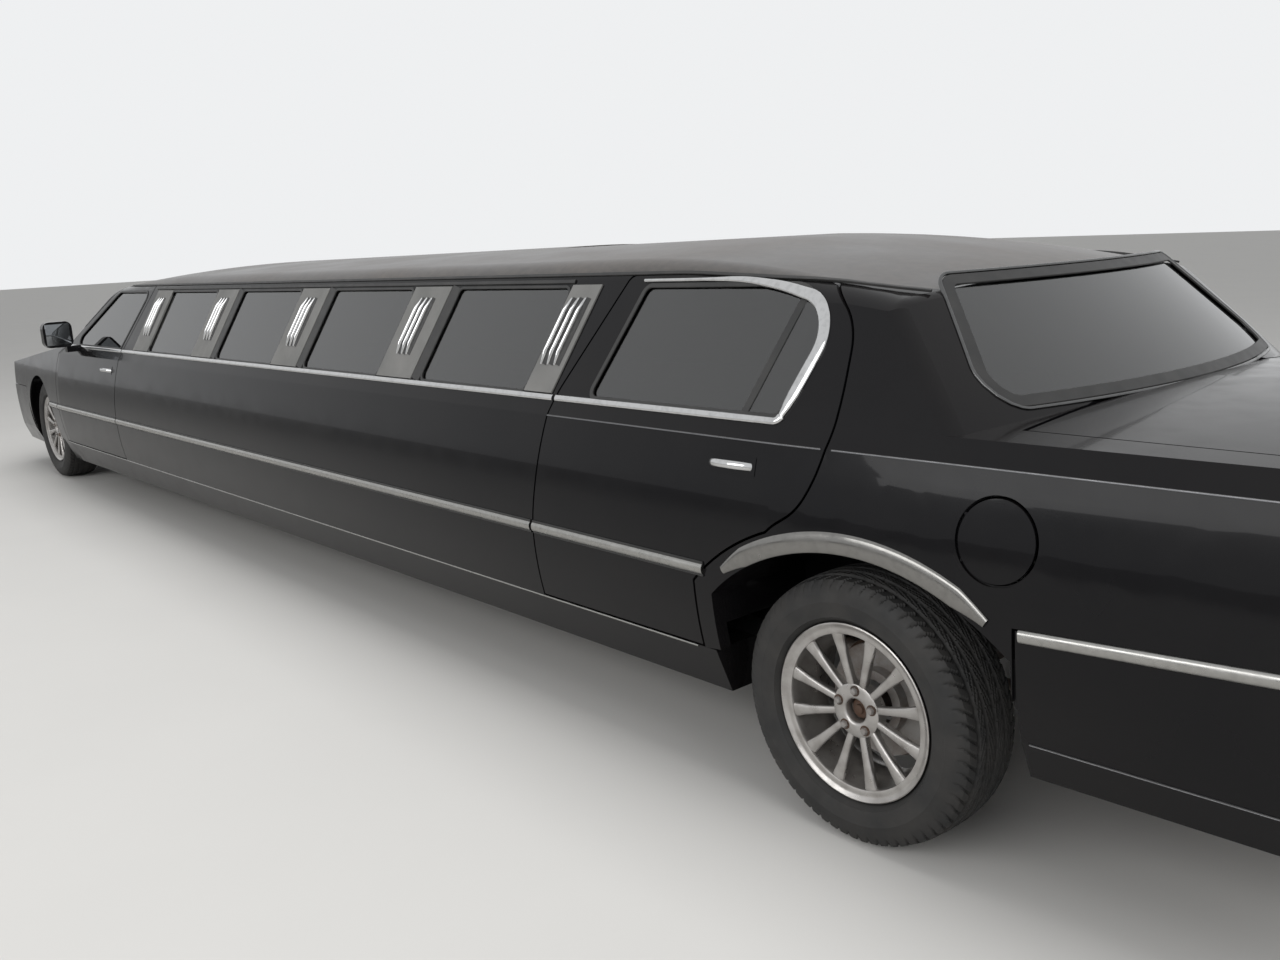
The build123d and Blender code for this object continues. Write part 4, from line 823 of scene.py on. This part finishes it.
hubEnd = [(0.0004, 0.020), (0.034, 0.020), (0.034, 0.042), (0.026, 0.048), (0.024, 0.056),
          (0.013, 0.058), (0.011, 0.064), (0.0004, 0.065)]
rotor = [(0.064, -0.052), (0.148, -0.052), (0.1485, -0.045), (0.1485, -0.031), (0.148, -0.024),
         (0.088, -0.024), (0.086, 0.006), (0.064, 0.010)]
shield = [(0.090, -0.068), (0.158, -0.068), (0.158, -0.058), (0.090, -0.058)]


def caliperShape():
    # a block bent round the rotor's edge, with a raised piston boss
    r, y = np.array([(0.098, -0.066), (0.150, -0.070), (0.170, -0.062), (0.173, -0.040),
                     (0.170, -0.010), (0.150, 0.000), (0.104, -0.004), (0.104, -0.018),
                     (0.152, -0.020), (0.154, -0.056), (0.098, -0.058)]).T
    a = math.radians(150) + np.linspace(-0.5, 0.5, 16) * math.radians(62)
    return aboutAxle(r, y, a), gridFaces(len(a), len(r), False, True, True)


def buildWheels():
    tyre = [tyreSurface()]
    metal = [rimBarrel()] + spokeShapes() + [hubShape()]
    pieces = [  # name, parts, whether it turns with the wheel, finish, slot
        ("wheelNuts", nutShapes(), True, "dull_steel", "alloy_wheel"),
        ("nutSeats", cupShapes(), True, "rusty_hub", "alloy_wheel"),
        ("hubEnd", [turned(hubEnd, 36)], True, "rusty_hub", "alloy_wheel"),
        ("brakeDisc", [turned(rotor, 72)], True, "dull_steel", "chassis_steel"),
        ("brakeShield", [turned(shield, 72)], False, "rusty_hub", "chassis_steel"),
        ("brakeCaliper", [caliperShape()], False, "dull_steel", "chassis_steel"),
    ]
    for end in ("front", "rear"):
        for side in ("left", "right"):
            tail = f"_{end}_{side}"
            place = np.array(nodeCentre("rim" + tail))
            wheel = "wheel" + tail
            carrier = f"knuckle_{side}" if end == "front" else "body"

            def put(parts):
                return [(points + place, faces) for points, faces in sided(parts, side)]

            meshPiece("tyre" + tail, put(tyre), wheel, "tyre_rubber", replaces=["tyre" + tail], sharp=30)
            meshPiece("rim" + tail, put(metal), wheel, "alloy_wheel", replaces=["rim" + tail])
            for name, parts, turns, *look in pieces:
                meshPiece(name + tail, put(parts), wheel if turns else carrier, *look)


buildWheels()
print("wheels built")

# screens, roof edge, tail, nose and door mirrors

screenLook = {
    "windshield": {"foot": (cowlX, 1.075), "run": -770 / 390, "bow": 1.996, "way": -1,
                   "corners": [(0.800, 1.110), (0.590, 1.425)]},
    "backlight": {"foot": (-0.440, 1.105), "run": 320 / 295, "bow": 2.208, "way": 1,
                  "corners": [(0.740, 1.130), (0.580, 1.385)]},
    "rounding": 0.040,
}


def onScreen(name, line):
    # points and outward normals of a bowed, leaning screen under (y, z) pairs
    k = screenLook[name]
    y, z = np.asarray(line, float).T

    def xAt(y, z):
        drop = k["bow"] - np.sqrt(k["bow"] ** 2 - y ** 2)
        return k["foot"][0] + k["way"] * drop + (z - k["foot"][1]) * k["run"]

    d = 0.003
    normal = np.stack([np.ones_like(y), -(xAt(y + d, z) - xAt(y - d, z)) / (2 * d),
                       -(xAt(y, z + d) - xAt(y, z - d)) / (2 * d)], -1)
    return aimed(np.stack([xAt(y, z), y, z], -1), unit(normal) * -k["way"])


def onLoop(name, grow):
    # the same for a loop round the screen, grown outwards
    (y0, z0), (y1, z1) = screenLook[name]["corners"]
    corners = [(-y0, z0), (y0, z0), (y1, z1), (-y1, z1)]
    return onScreen(name, closedOutline(corners, [screenLook["rounding"]] * 4, grow, 0.05))


def buildScreenTrim():
    for name in ("windshield", "backlight"):
        seal = carry(*onLoop(name, 0.008), slab(0.034, 0.003), True)
        meshPiece(name + "Seal", [seal], "body", "black_trim")
    rim = carry(*onLoop("backlight", 0.024), dome(0.009, 0.005), True)
    meshPiece("backlightChrome", [rim], "body", "dark_chrome")
    # two wipers resting on the windshield
    arms, blades = [], []
    for y0, y1 in ((0.62, 0.02), (-0.02, -0.60)):
        foot = onScreen("windshield", [(y0 - 0.04, 1.070)])[0][0]
        points, normals = onScreen("windshield", np.linspace((y0, 1.125), (y1, 1.190), 14))
        normals = unit(normals)
        blades.append(carry(points + normals * 0.006, normals, slab(0.010, 0.010, foot=0.006)))
        middle = points[7] + normals[7] * 0.022
        elbow = foot * 0.6 + middle * 0.4 + (0, 0, 0.026)
        line = np.array([foot + (0, 0, 0.020), elbow, middle])
        arms.append(carry(line, np.tile(normals[7], (3, 1)), slab(0.014, 0.007, foot=0.004)))
    meshPiece("wiperArms", arms, "body", "black_trim", "dash_plastic")
    meshPiece("wiperBlades", blades, "body", "black_trim")


def buildRoofEdge():
    edge = [(cowlX - 0.90, 1.4335), (0.700, 1.4335), (0.180, 1.4055), (-0.058, 1.3720)]
    sideTrim("roofDripStrip", [roundedLine(edge, [3.0, 2.0], 8, 0.12)], slab(0.012, 0.0045), "body",
             "black_trim", "roof_paint")


def planStrip(points, heightAt, profile, faceProud, radius=0.150):
    # a strip that follows a plan outline on upright faces, with its height given by x;
    # across the end face it stands out by only a share, so that the car grows no longer
    flat = roundedLine(points, [radius] * (len(points) - 2), 10, 0.08)
    path = np.column_stack([flat, [heightAt(x) for x in flat[:, 0]]])
    along = unit(np.gradient(flat, axis=0))
    normal = np.column_stack([along[:, 1], -along[:, 0], np.zeros(len(flat))])
    half = len(flat) // 2
    if normal[half, :2] @ ((wheelbase / 2, 0) - flat[half]) > 0:
        normal = -normal
    proud = np.interp(abs(flat[:, 1]), endLook["faceEdge"], [faceProud, 1])
    return carry(*aimed(path, normal), profile, sizes=np.column_stack([np.ones(len(flat)), proud]))


tailX, noseX = -1.421, wheelbase + 1.060
endLook = {
    "bumperLine": (-0.482, 0.676, -1.441, 0.725), "bumperStrip": 0.030, "faceEdge": (0.60, 0.86),
    "plate": (0.305, 0.152), "plateHeight": 0.880,
    "tailLean": 0.04 / 0.30, "noseLean": 0.026 / 0.230,
}


def stripHeight(x):
    x0, z0, x1, z1 = endLook["bumperLine"]
    return z0 + (z1 - z0) * (x - x0) / (x1 - x0)


def tailFace(z):
    return tailX + max(0.040, 0.036 + (z - 0.760) * endLook["tailLean"])


def noseFace(z):
    return noseX + min(-0.060, -0.076 + (0.870 - z) * endLook["noseLean"])


def facePlate(y0, y1, z0, z1, depth, rear=True, rounding=0.004):
    # a flat plate on the tail's or the nose's upright face
    z = (z0 + z1) / 2
    x = tailFace(z) - depth / 2 if rear else noseFace(z) + depth / 2
    lean = math.atan(endLook["tailLean"] if rear else -endLook["noseLean"])
    return softBox((depth, y1 - y0, z1 - z0), (x, (y0 + y1) / 2, z),
                   min(rounding, depth / 2 - 0.0005), Matrix.Rotation(lean + bodyRake, 4, "Y"))


def faceFrame(half, z0, z1, low, top, depth, rear=True, side=0.016):
    # four such plates round an opening; low, top and side are their widths
    spans = [(-half, half, z1 - top, z1), (-half, half, z0, z0 + low),
             (-half, side - half, z0, z1), (half - side, half, z0, z1)]
    return [facePlate(*span, depth, rear) for span in spans]


def lengthwise(outline, steps, place, way=1):
    # a turned shape whose axle lies along the car
    points, faces = turned(outline, steps)
    return toRow(points[:, [1, 0, 2]] * (way, 1, 1) + place), faces


# beads on the creases, in a finish that paints their highlight
creaseHighlightLook = {
    "width": 0.0045, "proud": 0.0012,
    "lines": [  # name, body, from x, to x, height
        ("shoulderCreaseHighlightDoor", "rear_door_{side}", 1.158, 0.060, 1.015),
        ("shoulderCreaseHighlightQuarter", "body", 0.028, -1.330, 1.015),
        ("bumperCreaseHighlight", "body", -0.500, -1.100, 0.425),
    ],
}


def buildCreaseHighlights():
    # thin beads along the shoulder crease and low on the rear bumper; their bright finish is a painted
    # highlight standing for the light these creases catch
    for name, body, x0, x1, z in creaseHighlightLook["lines"]:
        bead = dome(creaseHighlightLook["width"], creaseHighlightLook["proud"])
        sideTrim(name, [straight(x0, z, x1, z)], bead, body, "crease_light")


def buildTail():
    strip = dome(endLook["bumperStrip"], 0.010)
    sideX, sideEnd = -1.135, -0.492
    corners = [(sideX, float(sideY(sideX, 0.715))), (tailX + 0.090, 0.880), (tailX, 0.650), (tailX, 0.0)]
    half = planStrip(corners, stripHeight, strip, 0.5)
    meshPiece("rearBumperStrip", [half, mirrored(half)], "body", "satin_trim")
    line = straight(sideX - 0.01, stripHeight(sideX), sideEnd, stripHeight(sideEnd))
    sideTrim("rearBumperSideStrip", [line], strip, "body", "satin_trim")
    # the lid's strip, and the blank plate in its frame
    y, z, h = endLook["plate"][0] / 2, endLook["plate"][1] / 2, endLook["plateHeight"]
    screw = [facePlate(s * 0.72 * y - 0.005, s * 0.72 * y + 0.005, h + 0.66 * z, h + 0.66 * z + 0.010,
                       0.008, rounding=0.003) for s in (-1, 1)]
    for name, parts, *look in (
        ("trunkLowerStrip", [facePlate(-0.575, 0.575, 0.762, 0.792, 0.012)],
         "bright_trim"),
        ("plateFrame", faceFrame(y + 0.03, h - z - 0.020, h + z + 0.024, 0.014, 0.016, 0.014),
         "bright_trim"),
        ("blankPlate", [facePlate(-y, y, h - z, h + z, 0.004, rounding=0.001)],
         "plate_white"),
        ("plateBacking", [facePlate(-y - 0.02, y + 0.02, h - z - 0.012, h + z + 0.012, 0.002,
                                    rounding=0.0005)], "black_trim", "body_paint"),
        ("plateScrews", screw, "dull_steel", "grille_chrome"),
    ):
        meshPiece(name, parts, "trunk_lid", *look)
    # bright edges and a reversing lamp on each tail lamp, and the exhaust tips below the bumper
    spans = ((0.600, 0.730, 0.752, 0.760), (0.600, 0.730, 0.957, 0.965), (0.596, 0.604, 0.752, 0.965))
    bothSides("tailLampTrim", [facePlate(*s, 0.010) for s in spans], "body", "bright_trim")
    reverse = facePlate(0.612, 0.722, 0.842, 0.872, 0.006, rounding=0.002)
    bothSides("reversingLamp", [reverse], "body", "milky_lens")
    tip = [(0.030, 0.0), (0.034, 0.0), (0.035, 0.070), (0.0345, 0.160), (0.030, 0.160)]
    bothSides("exhaustTip", [lengthwise(tip, 36, (tailX + 0.185, 0.300, 0.240), -1)], "body",
              "bright_trim")


def buildNose():
    # upright grille bars in a frame, over the dark grille block
    nodes["grille"].data.materials[0] = finishes["black_trim"]
    bars = [facePlate(y - 0.0055, y + 0.0055, 0.752, 0.860, 0.012, False)
            for y in np.linspace(-0.440, 0.440, 34)]
    meshPiece("grilleBars", bars, "body", "bright_trim")
    meshPiece("grilleSurround", faceFrame(0.468, 0.744, 0.866, 0.013, 0.014, 0.022, False), "body",
              "bright_trim")
    sideX = noseX - 0.300
    corners = [(sideX, float(sideY(sideX, 0.70)) - 0.012), (noseX - 0.140, 0.870), (noseX, 0.500),
               (noseX, 0.0)]
    half = planStrip(corners, lambda x: 0.700, dome(0.028, 0.009), 0.1, 0.13)
    meshPiece("frontBumperStrip", [half, mirrored(half)], "body", "satin_trim")
    # lower intake: dark panel with slats, and round fog lamps beside it
    slats = [softBox((0.02, 0.856, 0.12), (noseX - 0.075, 0, 0.447), 0.005, rakeTurn)]
    for z in (0.415, 0.437, 0.459, 0.481):
        slats.append(softBox((0.026, 0.858, 0.006), (noseX - 0.045, 0, z), 0.0025, rakeTurn))
    meshPiece("intakeSlats", slats, "body", "black_trim", "bumper_paint")
    bowl = [(0.0004, 0.0), (0.030, 0.002), (0.038, 0.014), (0.040, 0.030), (0.044, 0.030),
            (0.044, -0.006), (0.0004, -0.006)]
    lens = [(0.0004, 0.024), (0.030, 0.021), (0.038, 0.016), (0.038, 0.013), (0.0004, 0.016)]
    place = (noseX - 0.110, 0.640, 0.450)
    bothSides("fogLampBowl", [lengthwise(bowl, 32, place)], "body", "black_trim", "bumper_paint")
    bothSides("fogLampLens", [lengthwise(lens, 32, place)], "body", "milky_lens")


def buildMirrors():
    glass = softBox((0.004, 0.142, 0.132), (cowlX - 0.4985, 1.045, 1.155), 0.0015, rakeTurn)
    bothSides("doorMirrorGlass", [glass], "front_door_{side}", "mirror_glass")


buildScreenTrim()
buildRoofEdge()
buildCreaseHighlights()
buildTail()
buildNose()
buildMirrors()
print("screens, tail and nose built")

# seats: crowned leather cushions with sewn channels

seatLook = {
    "channel": 0.007, "channelWidth": 0.009, "pull": 0.016, "rows": 44, "squareness": 6,
    "frontWidth": 0.490, "floor": 0.345,
}


def packed(count, share):
    # places from -1 to 1 that lie closer towards both ends
    even = np.linspace(-1, 1, count)
    ends = np.sin(even * math.pi / 2)
    return np.sign(ends) * (share * abs(ends) + (1 - share) * abs(even))


def cushion(size, centre, turn, across, along):
    # a closed pillow: z is its thickness; its sides pull in between the corners
    k = seatLook
    a, b, t = np.asarray(size, float) / 2
    rows, cols = k["rows"], int(np.clip(b / a * k["rows"], 30, 240))
    u, v = np.meshgrid(packed(rows, 0.45), packed(cols, 0.25), indexing="ij")
    corner = 1 - 0.035 * (abs(u) * abs(v)) ** 6
    x = (a * u - np.sign(u) * k["pull"] * (1 - v ** 2) * abs(u) ** 4) * corner
    y = (b * v - np.sign(v) * k["pull"] * (1 - u ** 2) * abs(v) ** 4) * corner
    power = k["squareness"]
    swell = ((1 - abs(u) ** power) * (1 - abs(v) ** (power * max(1, b / a)))) ** (1 / 3.2)
    top = t * swell * (0.80 + 0.20 * (1 - u ** 2) * (1 - v ** 2) ** 0.5)
    # sewn channels across and along the cushion, at shares of its half sizes
    for places, where, half in ((across, x, a), (along, y, b)):
        for place in places:
            top = top - k["channel"] * np.exp(-((where - half * place) / k["channelWidth"]) ** 2) * swell
    upper, lower = (np.stack([x, y, z], -1).reshape(-1, 3) for z in (top, -t * swell * 0.94))
    # both sheets share their rim, so the lower one's own rim is left out
    n, border = rows * cols, borderOf(rows, cols)
    keep = np.ones(2 * n, bool)
    keep[n + border] = False
    below = (np.cumsum(keep) - 1)[n:]
    below[border] = border
    quads = gridFaces(rows, cols)
    faces = quads + [tuple(int(below[i]) for i in q[::-1]) for q in quads]
    points, rim = np.vstack([upper, lower])[keep], upper[border]
    rimOut = unit(rim * (1, 1, 0))
    m = np.asarray(turn.to_3x3()).T
    points, rim, rimOut = points @ m + centre, rim @ m + centre, rimOut @ m
    piping = carry(toRow(rim - rimOut * 0.002), rimOut, dome(0.007, 0.005, foot=0.003), True)
    return [(toRow(points), faces), piping]


def softPiece(name, node, size, centre, turn, across=(), along=(), side=None):
    made = sided(cushion(size, centre, turn, across, along), side)
    tag = f"_{side}" if side else ""
    piece = meshPiece(name + tag, made[:1], "body", "seat_leather", replaces=[node], sharp=75)
    meshPiece(name + "Piping" + tag, made[1:], "body", "black_trim", "seat_leather")


def evenly(count):
    # shares of a half width at which count panels meet
    return [2 * i / count - 1 for i in range(1, count)]


def buildSeats():
    floor, x0, y0 = seatLook["floor"], cowlX - 1.290, 0.390
    wide = seatLook["frontWidth"]
    for side in ("left", "right"):
        for name, size, dx, dz, lean, across, along, fill in (
            ("Cushion", (0.55, wide, 0.150), 0.325, 0.222, -3, (0.5, 0.1, -0.3), (-0.62, 0.62), 0.8),
            ("Back", (0.430, wide, 0.110), 0.020, 0.455, 73, (-0.25, 0.15, 0.55), (-0.62, 0.62), 0.8),
            ("Headrest", (0.105, 0.27, 0.075), -0.055, 0.716, 78, (), (), 0.7),
        ):
            softPiece("frontSeat" + name, "front_seats", size, (x0 + dx, y0, floor + dz), tilted(lean),
                      across, along, side)
    plinth = softBox((0.46, 0.44, 0.125), (x0 + 0.30, y0, floor + 0.069), 0.02)
    shell = softBox((0.02, 0.44, 0.40), (x0 - 0.045, y0, floor + 0.430), 0.009, tilted(-16))
    bothSides("frontSeatPlinth", [plinth, shell], "body", "black_trim", "dash_plastic")
    # the rear bench: three places across
    softPiece("rearBenchCushion", "rear_bench", (0.52, 1.150, 0.155), (0.630, 0.0, 0.690), tilted(-3),
              (0.45, 0.0, -0.45), evenly(3))
    softPiece("rearBenchBack", "rear_bench", (0.40, 1.150, 0.130), (0.300, 0.0, 0.845), tilted(-71),
              (-0.4, 0.1), evenly(3))
    blocks = [softBox((0.36, 0.42, 0.245), (0.690, y, 0.485), 0.02) for y in (-0.365, 0.365)]
    meshPiece("rearBenchPlinth", blocks, "body", "black_trim", "seat_leather")
    # the side bench along the right side
    low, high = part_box("side_bench")
    length = high.x - low.x - 0.03
    middle = (low.x + high.x) / 2 - rearHub.x - 0.009
    turn = tilted(90, "Z")
    softPiece("sideBenchCushion", "side_bench", (0.390, length, 0.140), (middle, -0.480, 0.598), turn,
              (0.35, -0.3), evenly(6))
    softPiece("sideBenchBack", "side_bench", (0.330, length, 0.110), (middle, -0.712, 0.795),
              turn @ tilted(79), (-0.3, 0.3), evenly(6))
    plinth = softBox((length, 0.40, 0.170), (middle, -0.520, floor + 0.092), 0.02)
    meshPiece("sideBenchPlinth", [plinth], "body", "black_trim", "seat_leather")


buildSeats()
print("seats built")

# camera, from the photograph: metres from the rear hubs' foot, angles in degrees

cameraLook = {
    "place": (-1.708, 3.041, 1.553), "yaw": -40.55, "pitch": -12.31, "roll": -2.67,
    "focalPixels": 1151.7, "imageWidth": 1280, "sensor": 36.0,
}


def placeCamera():
    yaw, pitch, roll = (math.radians(cameraLook[k]) for k in ("yaw", "pitch", "roll"))
    ahead = Vector((math.cos(pitch) * math.cos(yaw), math.cos(pitch) * math.sin(yaw), math.sin(pitch)))
    right = ahead.cross(Vector((0, 0, 1))).normalized()
    data = bpy.data.cameras.new("photoCamera")
    data.sensor_width = cameraLook["sensor"]
    data.lens = cameraLook["focalPixels"] / cameraLook["imageWidth"] * cameraLook["sensor"]
    data.clip_end = 200
    camera = bpy.data.objects.new("photoCamera", data)
    scene.collection.objects.link(camera)
    place = Vector(cameraLook["place"]) + Vector((rearHub.x, 0, 0))
    turn = Matrix((right, right.cross(ahead), -ahead)).transposed().to_4x4()
    camera.matrix_world = Matrix.Translation(place) @ turn @ Matrix.Rotation(roll, 4, "Z")
    scene.camera = camera


placeCamera()

# studio: a pale floor, an even sky and three soft lamps

studioLook = {
    "floorColour": (0.62, 0.61, 0.59), "floorHalf": 60, "skyLight": 0.55, "skySeen": (0.86, 0.87, 0.88),
    "lamps": [  # name, place, size, power, aim
        ("overhead", (0, 0, 7.5), (12.0, 5.0), 420, (0, 0, 0)),
        ("leftBank", (-2.5, 9.0, 4.5), (12.0, 3.5), 420, (0, 0, 0.6)),
        ("rearBank", (-11.0, 1.0, 4.5), (6.0, 3.5), 260, (-3.5, 0, 0.7)),
    ],
}


def buildSky():
    # the sky looks brighter to the camera, in reflections and through glass than it shines
    world = bpy.data.worlds.new("studioSky")
    world.use_nodes = True
    scene.world = world
    sky = Shading(world.node_tree)
    rays = sky.node("LightPath", {}).outputs
    seen = sky.maths("MAXIMUM", rays["Is Camera Ray"], rays["Is Glossy Ray"])
    seen = sky.maths("MAXIMUM", seen, rays["Is Transmission Ray"])
    back = world.node_tree.nodes["Background"].inputs
    sky.fill(back["Color"], colour(studioLook["skySeen"]))
    sky.fill(back["Strength"], sky.spread(seen, 0.0, 1.0, studioLook["skyLight"], 1.0))


def buildStudio():
    buildSky()
    for name, place, size, power, aim in studioLook["lamps"]:
        data = bpy.data.lights.new(name, "AREA")
        data.shape = "RECTANGLE"
        data.size, data.size_y = size
        data.energy = power
        lamp = bpy.data.objects.new(name, data)
        lamp.location = place
        # the others would stand in the screens as pale squares
        lamp.visible_glossy = name == "leftBank"
        lamp.rotation_euler = (Vector(aim) - Vector(place)).to_track_quat("-Z", "Y").to_euler()
        scene.collection.objects.link(lamp)
    mesh = bpy.data.meshes.new("studioFloor")
    h = studioLook["floorHalf"]
    mesh.from_pydata([(-h, -h, 0), (h, -h, 0), (h, h, 0), (-h, h, 0)], [], [(0, 1, 2, 3)])
    floor = bpy.data.objects.new("studioFloor", mesh)
    scene.collection.objects.link(floor)
    tone = studioLook["floorColour"]
    f = Finish("paleFloor", Roughness=0.85)
    f.set("Base Color", f.mix(f.noise(1.2, 4.0), tone, tuple(c * 0.94 for c in tone)))
    mesh.materials.append(f.mat)


buildStudio()
scene.view_settings.view_transform = "Standard"
print("studio built")
